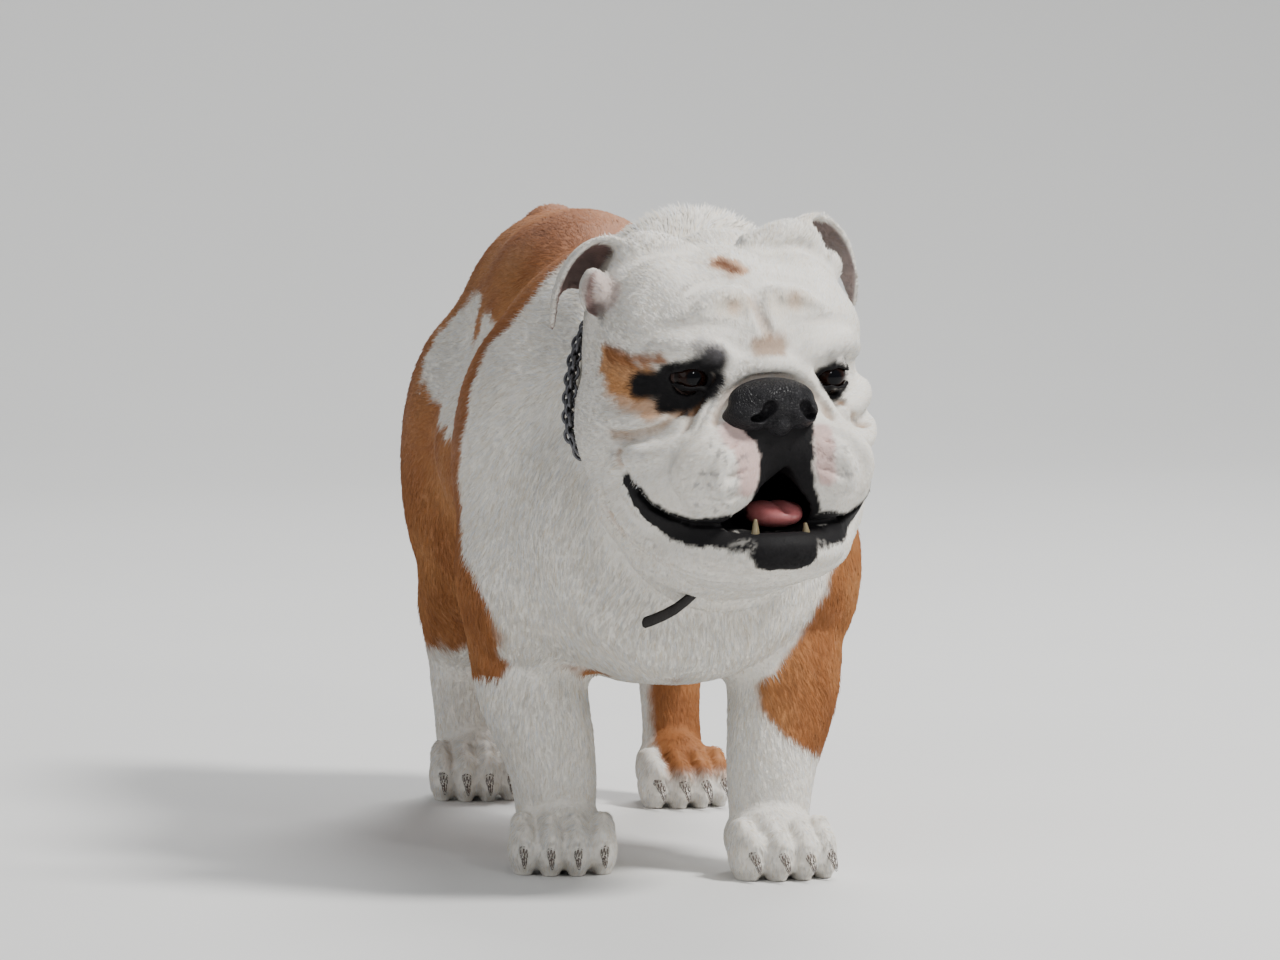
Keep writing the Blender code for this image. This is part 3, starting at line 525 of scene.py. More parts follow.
def collar_loop(mesh):
    """Evenly spaced points round the neck, just proud of the coat, three to each bead."""
    frame = head_frame()
    normal = (frame.to_3x3() @ Vector((0, 1, -COLLAR_LEAN))).normalized()
    origin = frame @ Vector((0, COLLAR_DEPTH, 0))
    bm = bmesh.new()
    bm.from_mesh(mesh)
    geometry = list(bm.verts) + list(bm.edges) + list(bm.faces)
    ring = bmesh.ops.bisect_plane(bm, geom=geometry, plane_co=origin, plane_no=normal, dist=1e-6)["geom_cut"]
    points = [v.co.copy() for v in ring if isinstance(v, bmesh.types.BMVert)]
    bm.free()
    across = (frame.to_3x3() @ Vector((1, 0, 0))).normalized()
    up = normal.cross(across)
    count = 72
    spokes = [[] for _ in range(count)]
    for point in points:
        way = point - origin
        angle = math.atan2(way.dot(up), way.dot(across)) % (2 * math.pi)
        spokes[int(angle / (2 * math.pi) * count) % count].append(way.length)
    radii = []
    for number in range(count):
        near = [spokes[(number + step) % count] for step in range(count)]
        radii.append(max(next(spoke for spoke in near if spoke)))
    for _ in range(10):
        radii = [(radii[n - 1] + 2 * radii[n] + radii[(n + 1) % count]) / 4 for n in range(count)]
    loop = []
    for number, radius in enumerate(radii):
        angle = 2 * math.pi * (number + 0.5) / count
        way = across * math.cos(angle) + up * math.sin(angle)
        proud = CHAIN_RADIUS * (0.8 - 2.9 * hidden(way.z * radius))
        loop.append(origin + way * (radius + proud))
    lengths = [(loop[(n + 1) % count] - loop[n]).length for n in range(count)]
    total = sum(lengths)
    steps = 3 * round(total / CHAIN_PITCH)
    even = []
    number, walked = 0, 0.0
    for step in range(steps):
        goal = total * step / steps
        while walked + lengths[number] < goal:
            walked += lengths[number]
            number += 1
        share = (goal - walked) / lengths[number]
        even.append(loop[number].lerp(loop[(number + 1) % count], share))
    return even


def grain(points, size, seed=0):
    """Smooth noise from 0 to 1 with features of that size, the same on every run."""
    scaled = points / size + seed * 17.31
    cell = np.floor(scaled).astype(np.int64)
    share = scaled - cell
    share = share * share * (3 - 2 * share)
    total = np.zeros(len(points))
    for corner in range(8):
        step = np.array([corner & 1, (corner >> 1) & 1, (corner >> 2) & 1])
        at = cell + step
        mixed = (at[:, 0] * 73856093) ^ (at[:, 1] * 19349663) ^ (at[:, 2] * 83492791) ^ (seed * 2654435)
        mixed = (mixed ^ (mixed >> 13)) * 1274126177
        value = ((mixed ^ (mixed >> 16)) & 0xFFFF) / 65535.0
        weight = np.prod(np.where(step, share, 1 - share), axis=1)
        total += value * weight
    return total


def layered(points, size, seed=0):
    """Three octaves of noise."""
    coarse, middle = grain(points, size, seed), grain(points, size / 2, seed + 1)
    return (coarse * 4 + middle * 2 + grain(points, size / 4, seed + 2)) / 7


def ramp(values, low, high):
    """0 below low and 1 above high, smooth between."""
    share = np.clip((values - low) / (high - low), 0, 1)
    return share * share * (3 - 2 * share)


def dense(points, spacing=0.0012):
    """A smooth line through the points, with a point about every spacing."""
    points = np.array(points, float)
    ends = np.vstack([2 * points[0] - points[1], points, 2 * points[-1] - points[-2]])
    line = []
    for number in range(1, len(ends) - 2):
        p0, p1, p2, p3 = ends[number - 1:number + 3]
        count = max(2, int(np.linalg.norm(p2 - p1) / spacing))
        for step in range(count):
            t = step / count
            line.append(0.5 * (2 * p1 + (p2 - p0) * t + (2 * p0 - 5 * p1 + 4 * p2 - p3) * t * t
                               + (3 * p1 - p0 - 3 * p2 + p3) * t ** 3))
    line.append(points[-1])
    return np.array(line)


def near_line(points, line, reach):
    """For points within reach of the line: their numbers, their distance and how far along it they are."""
    low, high = line.min(0) - reach, line.max(0) + reach
    found = np.nonzero(np.all((points > low) & (points < high), axis=1))[0]
    distance = np.full(len(found), 1e9)
    along = np.zeros(len(found))
    for number, place in enumerate(line):
        off = np.linalg.norm(points[found] - place, axis=1)
        closer = off < distance
        distance[closer] = off[closer]
        along[closer] = number / max(len(line) - 1, 1)
    kept = distance < reach
    return found[kept], distance[kept], along[kept]


def patch(points, path, radius, soft, ragged=0.0, seed=0):
    """1 within radius of the path and 0 beyond radius + soft, with an edge that noise makes ragged."""
    line = dense(path, 0.004) if len(path) > 1 else np.array(path, float)
    mask = np.zeros(len(points))
    found, distance, _ = near_line(points, line, radius + soft + ragged)
    if ragged:
        distance = distance + (layered(points[found], 0.006, seed) - 0.5) * 2 * ragged
    mask[found] = 1 - ramp(distance, radius, radius + soft)
    return mask


def coordinates(mesh):
    flat = np.empty(len(mesh.vertices) * 3, np.float32)
    mesh.vertices.foreach_get("co", flat)
    return flat.reshape(-1, 3).astype(float)


def normals_of(mesh):
    flat = np.empty(len(mesh.vertices) * 3, np.float32)
    mesh.vertex_normals.foreach_get("vector", flat)
    return flat.reshape(-1, 3).astype(float)


def moved_to(mesh, points):
    mesh.vertices.foreach_set("co", points.astype(np.float32).ravel())
    mesh.update()


def in_head(points):
    """Design coordinates to the head's own frame."""
    back = np.array(head_frame().inverted())
    return points @ back[:3, :3].T + back[:3, 3]


def both_sides(points):
    return [points, mirrored(points)]


# Strokes on the head, in its own frame: path, width and height (a crease has a height below zero).
RIDGES = (
    ([(-0.046, -0.060, 0.074), (-0.034, -0.058, 0.080),
      (-0.024, -0.056, 0.083), (-0.010, -0.058, 0.080)], 4.5, 2.6),
    ([(-0.070, -0.044, 0.052), (-0.056, -0.058, 0.056),
      (-0.040, -0.066, 0.054), (-0.024, -0.069, 0.050)], 4.5, 2.2),
    ([(-0.044, -0.078, -0.006), (-0.054, -0.084, -0.016),
      (-0.060, -0.084, -0.030), (-0.056, -0.084, -0.044)], 4.0, 2.2),
    ([(-0.030, -0.094, -0.014), (-0.040, -0.097, -0.018), (-0.047, -0.096, -0.026)], 3.0, 2.0),
    ([(-0.028, -0.096, -0.030), (-0.040, -0.097, -0.033), (-0.052, -0.092, -0.034)], 3.0, 2.0),
    ([(-0.078, -0.049, -0.018), (-0.086, -0.040, -0.022), (-0.092, -0.028, -0.024)], 4.0, 2.0),
)
CREASES = (
    ([(-0.048, -0.086, -0.008), (-0.041, -0.082, 0.006), (-0.032, -0.078, 0.020), (-0.016, -0.076, 0.031),
      (0, -0.076, 0.034)], 2.4, -3.2),
    ([(-0.066, -0.072, -0.016), (-0.060, -0.070, -0.004), (-0.051, -0.066, 0.010), (-0.042, -0.064, 0.026),
      (-0.026, -0.066, 0.041), (0, -0.069, 0.049)], 2.8, -3.2),
    ([(-0.055, -0.080, -0.002), (-0.045, -0.076, 0.012),
      (-0.035, -0.073, 0.026), (-0.020, -0.072, 0.036)], 1.6, -1.6),
    ([(-0.046, -0.062, 0.020), (-0.056, -0.060, 0.014), (-0.068, -0.058, 0.003), (-0.078, -0.049, -0.002),
      (-0.089, -0.029, -0.004), (-0.093, -0.015, 0.002)], 3.0, -2.6),
    ([(-0.046, -0.069, 0.009), (-0.056, -0.068, -0.004), (-0.070, -0.059, -0.012), (-0.085, -0.042, -0.013),
      (-0.095, -0.024, -0.009)], 3.0, -2.6),
    ([(-0.088, -0.036, -0.014), (-0.087, -0.040, -0.026), (-0.084, -0.044, -0.037)], 3.0, -3.0),
    ([(-0.052, -0.083, -0.004), (-0.062, -0.081, -0.014),
      (-0.068, -0.078, -0.028), (-0.064, -0.078, -0.044)], 2.2, -2.6),
    ([(-0.026, -0.093, -0.002), (-0.037, -0.095, -0.008),
      (-0.047, -0.095, -0.015), (-0.053, -0.092, -0.024)], 1.7, -2.6),
    ([(-0.022, -0.096, -0.022), (-0.034, -0.099, -0.025),
      (-0.046, -0.096, -0.029), (-0.056, -0.089, -0.030)], 1.6, -2.2),
    ([(-0.026, -0.096, -0.037), (-0.040, -0.096, -0.041), (-0.054, -0.089, -0.041)], 1.6, -1.7),
    ([(-0.006, -0.050, 0.090), (-0.004, -0.060, 0.080),
      (0.000, -0.066, 0.068), (0.004, -0.070, 0.058)], 3.4, -2.4),
    ([(-0.048, -0.050, 0.084), (-0.028, -0.044, 0.093), (-0.010, -0.044, 0.095)], 3.0, -1.4),
    ([(-0.068, -0.044, 0.062), (-0.048, -0.060, 0.067),
      (-0.028, -0.067, 0.067), (-0.012, -0.069, 0.062)], 3.0, -2.0),
    ([(-0.066, -0.050, 0.045), (-0.054, -0.061, 0.050),
      (-0.040, -0.068, 0.047), (-0.034, -0.069, 0.038)], 1.8, -1.8),
    ([(-0.094, -0.012, -0.042), (-0.091, -0.022, -0.054), (-0.074, -0.036, -0.080), (-0.052, -0.066, -0.096),
      (-0.024, -0.086, -0.099)], 4.0, -3.4),
    ([(-0.083, -0.030, -0.040), (-0.079, -0.042, -0.056), (-0.066, -0.058, -0.072)], 2.0, -1.4),
)


def sculpt(mesh, strokes):
    """Raises or sinks the skin along its normals, by each stroke's height at its middle, in millimetres.

    Returns how far each point rose.
    """
    points = coordinates(mesh)
    normals = normals_of(mesh)
    local = in_head(points)
    rise = np.zeros(len(points))
    for path, width, height in strokes:
        if path[-1][0] == 0:
            sides = [path + mirrored(path)[-2::-1]]
        else:
            sides = [path] if abs(path[0][0]) < 0.012 else both_sides(path)
        for side in sides:
            line = dense(side)
            found, distance, along = near_line(local, line, width * 0.003)
            ends = ramp(np.minimum(along, 1 - along), -0.02, 0.18)
            rise[found] += height * 0.001 * np.exp(-((distance / (width * 0.001)) ** 2)) * ends
    rise = np.maximum(rise, -DEEPEST_CREASE)
    moved_to(mesh, points + normals * rise[:, None])
    return rise


def cut_with(mesh, tools):
    """The mesh after taking the closed tool meshes out of it, one by one."""
    body = new_object("body", mesh)
    helpers = []
    for tool in tools:
        helper = new_object("tool", tool)
        helpers.append(helper)
        trim = body.modifiers.new("Cut", "BOOLEAN")
        trim.operation = "DIFFERENCE"
        trim.solver = "MANIFOLD"
        trim.object = helper
    result = evaluated_mesh(body)
    for helper in helpers:
        remove(helper)
    remove(body)
    return result


def fused(mesh, voxel, passes):
    lump = new_object("lump", mesh)
    fuse = lump.modifiers.new("Fuse", "REMESH")
    fuse.mode = "VOXEL"
    fuse.voxel_size = voxel
    soften = lump.modifiers.new("Soften", "SMOOTH")
    soften.factor = 0.5
    soften.iterations = passes
    result = evaluated_mesh(lump)
    remove(lump)
    return result


PARTING = (
    (-0.034, -0.0625), (-0.034, -0.0540), (-0.0160, -0.0427), (0.0076, -0.0205), (0.0175, -0.0427),
    (0.0215, -0.0540), (0.0215, -0.0625),
)


# Where the lips meet, on the skin of the right cheek from the corner of the mouth forwards
LIP_LINE = [
    (-0.083, -0.038, -0.031), (-0.080, -0.050, -0.039), (-0.075, -0.056, -0.047),
    (-0.066, -0.063, -0.0535), (-0.054, -0.071, -0.0580), (-0.040, -0.084, -0.0580),
]


def lip_line():
    """The mouth's line as a curved wedge that opens outwards between the lips."""
    path = [Vector(p) for p in LIP_LINE + [(0, -0.098, -0.0600)] + mirrored(LIP_LINE)[::-1]]
    middle = Vector((0, -0.020, -0.060))
    rings = []
    for number, point in enumerate(path):
        along = path[min(number + 1, len(path) - 1)] - path[max(number - 1, 0)]
        out = point - middle
        out.z = 0
        out.normalize()
        up = along.cross(out).normalized()
        wide = 0.0 if number in (0, len(path) - 1) else 1.0
        inner, outer = 0.0005 + 0.0005 * wide, 0.0010 + 0.0028 * wide
        near, far = point - out * 0.016, point + out * 0.016
        rings.append([near - up * inner, far - up * outer, far + up * outer, near + up * inner])
    sheet = loft(rings)
    sheet.transform(head_frame())
    return sheet


def almond(side):
    """The opening between the lids: an almond outline that widens forwards from inside the eyeball."""
    centre = LEFT_EYE if side > 0 else RIGHT_EYE
    gaze = Vector((side * 0.30, -1, 0.02)).normalized()
    across = Vector((0, 0, 1)).cross(gaze).normalized()
    up = gaze.cross(across)
    rings = []
    for depth, swell in ((0.002, 0.75), (0.0125, 1.0), (0.030, 1.45)):
        ring = []
        for step in range(24):
            angle = 2 * math.pi * step / 24
            sine = math.sin(angle)
            point = centre + gaze * depth
            point += across * (0.0092 * swell * math.cos(angle))
            point += up * (0.0056 * swell * sine * abs(sine) ** 0.25 - 0.0004)
            ring.append(point)
        rings.append(ring)
    mesh = loft(rings)
    mesh.transform(head_frame())
    return mesh


def flesh():
    """The whole dog's surface in design coordinates, with its openings cut and its folds laid.

    Returns it with the share of opening and the depth of the creases at each of its points.
    """
    base = body_with_limbs()
    pinch(base, head_frame())
    clay = Clay()
    for feet, (length, width, splay) in ((FRONT_FEET, FRONT_PAW), (HIND_FEET, HIND_PAW)):
        for name, foot in feet.items():
            paw(clay, foot, length, width, splay if name == "left" else -splay)
    clay.frame = head_frame()
    face_folds(clay, surface_tree(base, head_frame()))
    lids(clay)
    ear_roots(clay)
    clay.ball((-0.086, 0.008, 0.085), (0.0095, 0.013, 0.016))  # the lumps inside the ears
    clay.ball((0.075, 0.000, 0.095), (0.009, 0.009, 0.012))
    clay.take(ear_sheet(-1, 0, 1))
    clay.take(ear_sheet(1, 0.011, 0.75))
    clay.take(base)
    whole = clay.settled(SKIN_VOXEL, 4)
    outside = surface_tree(whole, Matrix.Identity(4))
    frame_of_head = head_frame()
    tools = [lip_line(), block(PARTING, -0.130, -0.058, frame_of_head)]
    tools.append(ball_mesh((0.002, -0.056, -0.046), (0.038, 0.037, 0.020), 24, frame_of_head))
    tools += [almond(-1), almond(1)]
    for eye in (RIGHT_EYE, LEFT_EYE):
        tools.append(ball_mesh(eye, (EYE_RADIUS + 0.0001,) * 3, 24, frame_of_head))
    opened = cut_with(whole, tools)
    skin = fused(opened, SKIN_VOXEL, 2)
    opening = openings(coordinates(skin), outside)
    sculpt(skin, RIDGES)
    depth = -sculpt(skin, CREASES)
    return skin, opening, depth


def openings(points, outside):
    """1 where the face's skin lies well inside the uncut surface: in the mouth, its line and the sockets."""
    local = in_head(points)
    face = (local[:, 1] < 0.0) & (np.abs(local[:, 0]) < 0.09) & (np.abs(local[:, 2]) < 0.08)
    opening = np.zeros(len(points))
    for number in np.nonzero(face)[0]:
        opening[number] = outside.find_nearest(Vector(points[number]))[3]
    return ramp(opening, 0.0005, 0.0014)


# The middle of the lower lip's black edge, from the corner of the mouth forwards
LOWER_LIP = [
    (-0.083, -0.037, -0.033), (-0.079, -0.048, -0.045), (-0.073, -0.053, -0.054), (-0.062, -0.060, -0.062),
    (-0.052, -0.073, -0.066), (-0.041, -0.084, -0.067), (-0.031, -0.092, -0.066),
]

WHITE = np.array([0.80, 0.765, 0.70])
CREAM = np.array([0.70, 0.62, 0.50])
BROWN = np.array([0.32, 0.125, 0.045])
DARK_BROWN = np.array([0.16, 0.060, 0.024])
TAN = np.array([0.50, 0.24, 0.095])
BLACK = np.array([0.0085, 0.0078, 0.0085])
GREY = np.array([0.16, 0.15, 0.155])
PINK = np.array([0.60, 0.38, 0.35])
EAR_SKIN = np.array([0.15, 0.088, 0.080])

SPOT = [(-0.0110, -0.026, 0.1045), (-0.0060, -0.034, 0.1005)]  # the dark spot on the forehead

# Where white gives way to brown behind the shoulder, as height against distance back, on each side.
RIGHT_EDGE = (
    (0.10, 0.030), (0.125, 0.010), (0.142, -0.002), (0.156, -0.012), (0.175, -0.014), (0.194, -0.002),
    (0.208, 0.016), (0.23, 0.036), (0.254, 0.044), (0.277, 0.037), (0.297, 0.033), (0.335, 0.042),
    (0.367, 0.034), (0.42, 0.060),
)
LEFT_EDGE = ((0.10, -0.060), (0.15, -0.060), (0.19, -0.040), (0.22, -0.020), (0.25, 0.000), (0.30, 0.020),
             (0.36, 0.034), (0.42, 0.060))
# The outer face of the left forearm: how far out the brown begins at each height.
LEFT_ARM = ((0.070, 0.110), (0.078, 0.090), (0.090, 0.070), (0.108, 0.052), (0.122, 0.050), (0.133, 0.064),
            (0.150, 0.080), (0.170, 0.088), (0.185, 0.096), (0.22, 0.108), (0.25, 0.120))
# The white patch on the right flank, as a path of circles in depth and height.
FLANK = [(-0.1, 0.120, 0.300), (-0.1, 0.200, 0.295), (-0.1, 0.270, 0.305), (-0.1, 0.325, 0.315)]


def between(values, table):
    xs, ys = zip(*table)
    return np.interp(values, xs, ys)


def blend(colour, over, mask):
    return colour + (np.asarray(over) - colour) * mask[:, None]


def body_brown(points):
    """How brown the coat of the body is, 0 to 1."""
    x, y, z = points.T
    wobble = (layered(points, 0.012, 3) - 0.5) * 0.014
    right = ramp(y - between(z, RIGHT_EDGE) + wobble, -0.003, 0.005)
    left = ramp(y - between(z, LEFT_EDGE) + wobble, -0.003, 0.005)
    side = ramp(x, -0.02, 0.02)
    brown = right * (1 - side) + left * side
    low = ramp(z + wobble, 0.098, 0.112)
    brown *= np.where(x < 0, low, 1.0)
    flat = np.column_stack([np.full(len(points), -0.1), y, z])
    white = patch(flat, FLANK, 0.030, 0.008, 0.010, 11)
    tongue = patch(flat, [(-0.1, 0.288, 0.350), (-0.1, 0.288, 0.326)], 0.006, 0.006, 0.004, 12)
    brown *= 1 - np.where(x < -0.02, white * (1 - tongue), 0)
    belly = ramp(0.205 - z + wobble, 0.0, 0.012) * ramp(0.060 - np.abs(x), 0.0, 0.02)
    belly *= ramp(0.36 - y, 0.0, 0.03)
    brown *= 1 - belly * (z > 0.13)
    arm = (x > 0) & (y < 0.14) & (z < 0.25)
    outward = ramp(x - between(z, LEFT_ARM) + wobble * 0.7, -0.003, 0.005) * ramp(z, 0.070, 0.082)
    brown = np.where(arm & (z < 0.20), outward, np.where(arm, np.maximum(brown, outward), brown))
    front_low = (y < 0.14) & (x < 0) & (z < 0.125)
    brown = np.where(front_low, 0, brown)
    hind = (y > 0.24) & (x > 0.02) & (z < 0.14)
    inner = ramp(x - 0.058 + wobble * 0.5, 0.0, 0.006) * ramp(z, 0.016, 0.032)
    brown = np.where(hind, np.maximum(inner, ramp(z, 0.125, 0.14)), brown)
    return brown


def laid_on(local, path, spacing=0.002):
    """The smooth line through the path, brought onto the nearest points of the skin."""
    line = dense(path, spacing)
    near = local[(local[:, 1] < 0.0)]
    return np.array([near[np.argmin(((near - place) ** 2).sum(1))] for place in line])


# Marks on the head: path, radius, softness, raggedness and its seed, colour and strength.
FOREHEAD_MARKS = (
    ([(-0.024, -0.061, 0.079), (-0.012, -0.060, 0.080)], 0.004, 0.008, 0.0, 0, CREAM, 0.55),
    ([(0.012, -0.060, 0.079), (0.030, -0.058, 0.081)], 0.004, 0.009, 0.0, 0, CREAM, 0.55),
    ([(-0.018, -0.063, 0.078)], 0.002, 0.006, 0.002, 31, TAN, 0.45),
    ([(0.024, -0.059, 0.080)], 0.002, 0.007, 0.002, 32, TAN, 0.35),
    (SPOT, 0.0060, 0.006, 0.005, 33, TAN, 0.75),
    (SPOT, 0.0032, 0.005, 0.004, 36, DARK_BROWN * 0.9, 0.95),
    # darker tan in the stop and along the furrow above it: painted shade in these hollows
    ([(-0.003, -0.070, 0.053), (0.009, -0.070, 0.054)], 0.004, 0.007, 0.003, 34, TAN * 0.55, 0.70),  # stop
    ([(-0.004, -0.060, 0.080), (0.002, -0.068, 0.062)], 0.001, 0.006, 0.002, 35, TAN * 0.7, 0.30),  # furrow
)
EYE_MARKS = (
    # brown outwards of the near eye, above and below it
    ([(-0.089, -0.014, 0.042), (-0.083, -0.028, 0.034), (-0.074, -0.042, 0.030)],
     0.008, 0.006, 0.005, 41, TAN, 0.95),
    ([(-0.088, -0.014, 0.047), (-0.078, -0.034, 0.044), (-0.064, -0.052, 0.047)],
     0.003, 0.005, 0.004, 42, BROWN * 0.8, 0.9),
    ([(-0.090, -0.020, 0.030), (-0.080, -0.036, 0.020), (-0.068, -0.050, 0.014)],
     0.004, 0.008, 0.005, 43, TAN * 1.15, 0.75),
    # black skin round it and below
    ([(-0.076, -0.042, 0.029), (-0.062, -0.055, 0.030), (-0.050, -0.063, 0.037), (-0.036, -0.070, 0.046)],
     0.0062, 0.0060, 0.002, 44, BLACK, 1),
    ([(-0.064, -0.056, 0.019), (-0.052, -0.063, 0.017), (-0.042, -0.067, 0.021), (-0.034, -0.070, 0.032)],
     0.0050, 0.0050, 0.002, 45, BLACK, 1),
    # grey above the inner corner of the eye: painted shade under the brow
    ([(-0.044, -0.069, 0.054), (-0.034, -0.071, 0.050)], 0.003, 0.008, 0.003, 46, GREY, 0.6),
    # the far eye's rim, its tear line and the shade above
    ([(0.062, -0.048, 0.028), (0.052, -0.062, 0.036), (0.041, -0.066, 0.030)],
     0.0045, 0.0040, 0.002, 47, BLACK, 0.95),
    ([(0.038, -0.068, 0.026), (0.044, -0.064, 0.018), (0.056, -0.060, 0.018)],
     0.0025, 0.0040, 0.002, 48, BLACK, 0.85),
    ([(0.044, -0.066, 0.045), (0.058, -0.056, 0.046)], 0.002, 0.006, 0.003, 49, GREY, 0.5),
)


# Painted crease shade, with some dirt, along the cheeks and muzzle: path and strength.
CREASE_SHADE_AND_DIRT = (
    ([(-0.046, -0.069, 0.010), (-0.058, -0.067, -0.005), (-0.072, -0.058, -0.012)], 0.75),
    ([(-0.056, -0.060, 0.014), (-0.068, -0.058, 0.003), (-0.078, -0.049, -0.002), (-0.089, -0.029, -0.004)],
     0.55),
    ([(-0.088, -0.036, -0.014), (-0.087, -0.040, -0.028)], 0.45),
    ([(-0.044, -0.080, -0.002), (-0.036, -0.078, 0.016), (-0.022, -0.076, 0.028)], 0.35),
)
# The edges of the black band under the nose, as distance aside at each height
BAND_LEFT = ((-0.07, -0.022), (-0.045, -0.019), (-0.037, -0.016), (-0.023, -0.014), (-0.014, -0.012),
             (-0.003, -0.019), (0.007, -0.030), (0.012, -0.033))
BAND_RIGHT = ((-0.07, 0.032), (-0.050, 0.029), (-0.037, 0.023), (-0.019, 0.021), (-0.005, 0.024),
              (0.007, 0.026))


def marked(colour, local, mark):
    """The colours with one mark laid over them."""
    path, radius, soft, ragged, seed, over, strength = mark
    return blend(colour, over, patch(local, path, radius, soft, ragged, seed) * strength)


def looks(points, normals, opening, depth):
    """Colour, length of the hair and share of bare skin at each point, from where it lies."""
    count = len(points)
    local = in_head(points)
    lx, ly, lz = local.T
    x, y, z = points.T
    head = ramp(COLLAR_DEPTH + COLLAR_LEAN * lz - ly, -0.006, 0.010) * ramp(lz, -0.16, -0.12)
    colour = np.tile(WHITE, (count, 1))
    shade = layered(points, 0.030, 5)
    colour = blend(colour, CREAM, ramp(shade, 0.45, 0.95) * 0.30)
    brown = body_brown(points) * (1 - head)
    tone = layered(points, 0.040, 8)
    hide = BROWN + (TAN - BROWN) * (ramp(tone, 0.35, 0.8) * 0.55)[:, None]
    hide = blend(hide, DARK_BROWN, ramp(0.5 - tone, 0.0, 0.3) * 0.4)
    grey_back = ramp(z, 0.36, 0.40) * 0.35
    hide = blend(hide, np.array([0.36, 0.19, 0.14]), grey_back)
    colour = blend(colour, hide, brown)
    length = 0.0064 + 0.0030 * ramp(z, 0.385, 0.42) * ramp(0.08 - y, 0.0, 0.04)
    length = length - 0.0024 * ramp(0.12 - z, 0.0, 0.06) + 0.0012 * brown
    length = length * (1 - head) + 0.0042 * head
    bare = np.zeros(count)

    # Ears: grey skin inside, short white hair outside and round the front edge.
    ear = head * ramp(np.abs(lx) - np.interp(lz, (0.04, 0.085, 0.13), (0.088, 0.075, 0.054)), 0.0, 0.004)
    ear_front = np.interp(np.abs(lx), (0.075, 0.09), (0.012, -0.006))
    ear *= ramp(lz, 0.048, 0.056) * ramp(ly - ear_front, 0.0, 0.005)
    turn = np.array(head_frame())[:3, :3]
    facing = normals @ turn
    inward = ear * ramp(-facing[:, 1] - 0.35 * facing[:, 2] - 0.20 * facing[:, 0] * np.sign(lx), 0.05, 0.40)
    for side, lift in ((-1, 0.0), (1, 0.011)):
        edge = [
            (side * (ex - lift * (1 - n / 4)), ey, ez + lift * (1 - 0.1 * n))
            for n, (ex, ey, ez) in enumerate(EAR_FRONT)
        ]
        found, distance, along = near_line(local, dense(edge, 0.002), 0.012)
        rim_width = np.interp(along, (0, 0.45, 0.8), (0.008, 0.0060, 0.0022))
        inward[found] *= ramp(distance - rim_width, -0.001, 0.002)
    inside_tone = ramp(layered(local, 0.014, 21), 0.3, 0.7)[:, None]
    inside = EAR_SKIN * 0.7 + (EAR_SKIN * 1.5 - EAR_SKIN * 0.7) * inside_tone
    inside = np.where((lx > 0)[:, None], inside * 0.6 + GREY * 0.9, inside)
    colour = blend(colour, inside, inward * 0.94)
    length = length * (1 - 0.45 * ear)
    lump = patch(local, [(-0.087, -0.004, 0.086)], 0.011, 0.006)
    colour = blend(colour, np.array([0.42, 0.29, 0.26]), lump * 0.60)
    # The ear's hollow is painted near black: painted shade in the recess below the lump.
    ear_hollow_shade = patch(local, [(-0.090, -0.002, 0.070), (-0.086, 0.000, 0.074)], 0.003, 0.006)
    colour = blend(colour, EAR_SKIN * 0.35, ear_hollow_shade * 0.8)

    # Face: shorter hair towards the muzzle.
    front = ramp(-ly, 0.030, 0.075)
    length = length * (1 - 0.42 * front * head)
    for mark in FOREHEAD_MARKS + EYE_MARKS:
        colour = marked(colour, local, mark)

    # Darker warm tan in the creases, most in those of the cheeks: painted shade, with some dirt.
    crease_patchiness = layered(local, 0.010, 50)
    high = ramp(lz, 0.02, 0.05)
    colour = blend(colour, TAN * 0.66, ramp(depth, 0.0008, 0.0030) * (0.12 + 0.50 * crease_patchiness) * (1 - 0.6 * high))
    for path, strength in CREASE_SHADE_AND_DIRT:
        for line in both_sides(path):
            colour = blend(colour, TAN * 0.55, patch(local, line, 0.0008, 0.0040, 0.0015, 51) * strength)

    # Black nose band, pink beside it, black lips and chin, and the mouth painted black inside: the lips are
    # black skin, with painted shade in the gap between them, and the mouth's inside is painted shade.
    near_pink = [(-0.030, -0.089, 0.000), (-0.024, -0.094, -0.012), (-0.022, -0.096, -0.030)]
    far_pink = [(0.030, -0.091, -0.002), (0.029, -0.096, -0.016), (0.030, -0.094, -0.028)]
    pink = patch(local, near_pink, 0.0075, 0.006, 0.003, 52)
    pink += patch(local, far_pink, 0.005, 0.004, 0.002, 53)
    colour = blend(colour, PINK, np.clip(pink, 0, 1) * 0.75)
    bare = np.maximum(bare, np.clip(pink, 0, 1) * 0.55)
    speck = ramp(layered(local, 0.0035, 54), 0.60, 0.68)
    flew = patch(local, [(-0.040, -0.096, -0.016), (-0.046, -0.092, -0.036)], 0.012, 0.010)
    flew += patch(local, [(0.042, -0.092, -0.020)], 0.009, 0.008)
    colour = blend(colour, GREY * 0.9, speck * np.clip(flew, 0, 1) * 0.55)
    rough = (layered(local, 0.006, 55) - 0.5) * 0.005
    band = ramp(lx - between(lz, BAND_LEFT) + rough, -0.001, 0.001)
    band *= ramp(between(lz, BAND_RIGHT) - lx + rough, -0.001, 0.001)
    band *= ramp(-ly, 0.066, 0.070) * ramp(lz, -0.075, -0.071) * ramp(0.010 - lz, 0.0, 0.003)
    lips = np.zeros(count)
    rough_lip = (layered(local, 0.005, 56) - 0.5) * 0.003
    front = [(-0.024, -0.092, -0.0605), (0, -0.098, -0.0610)]
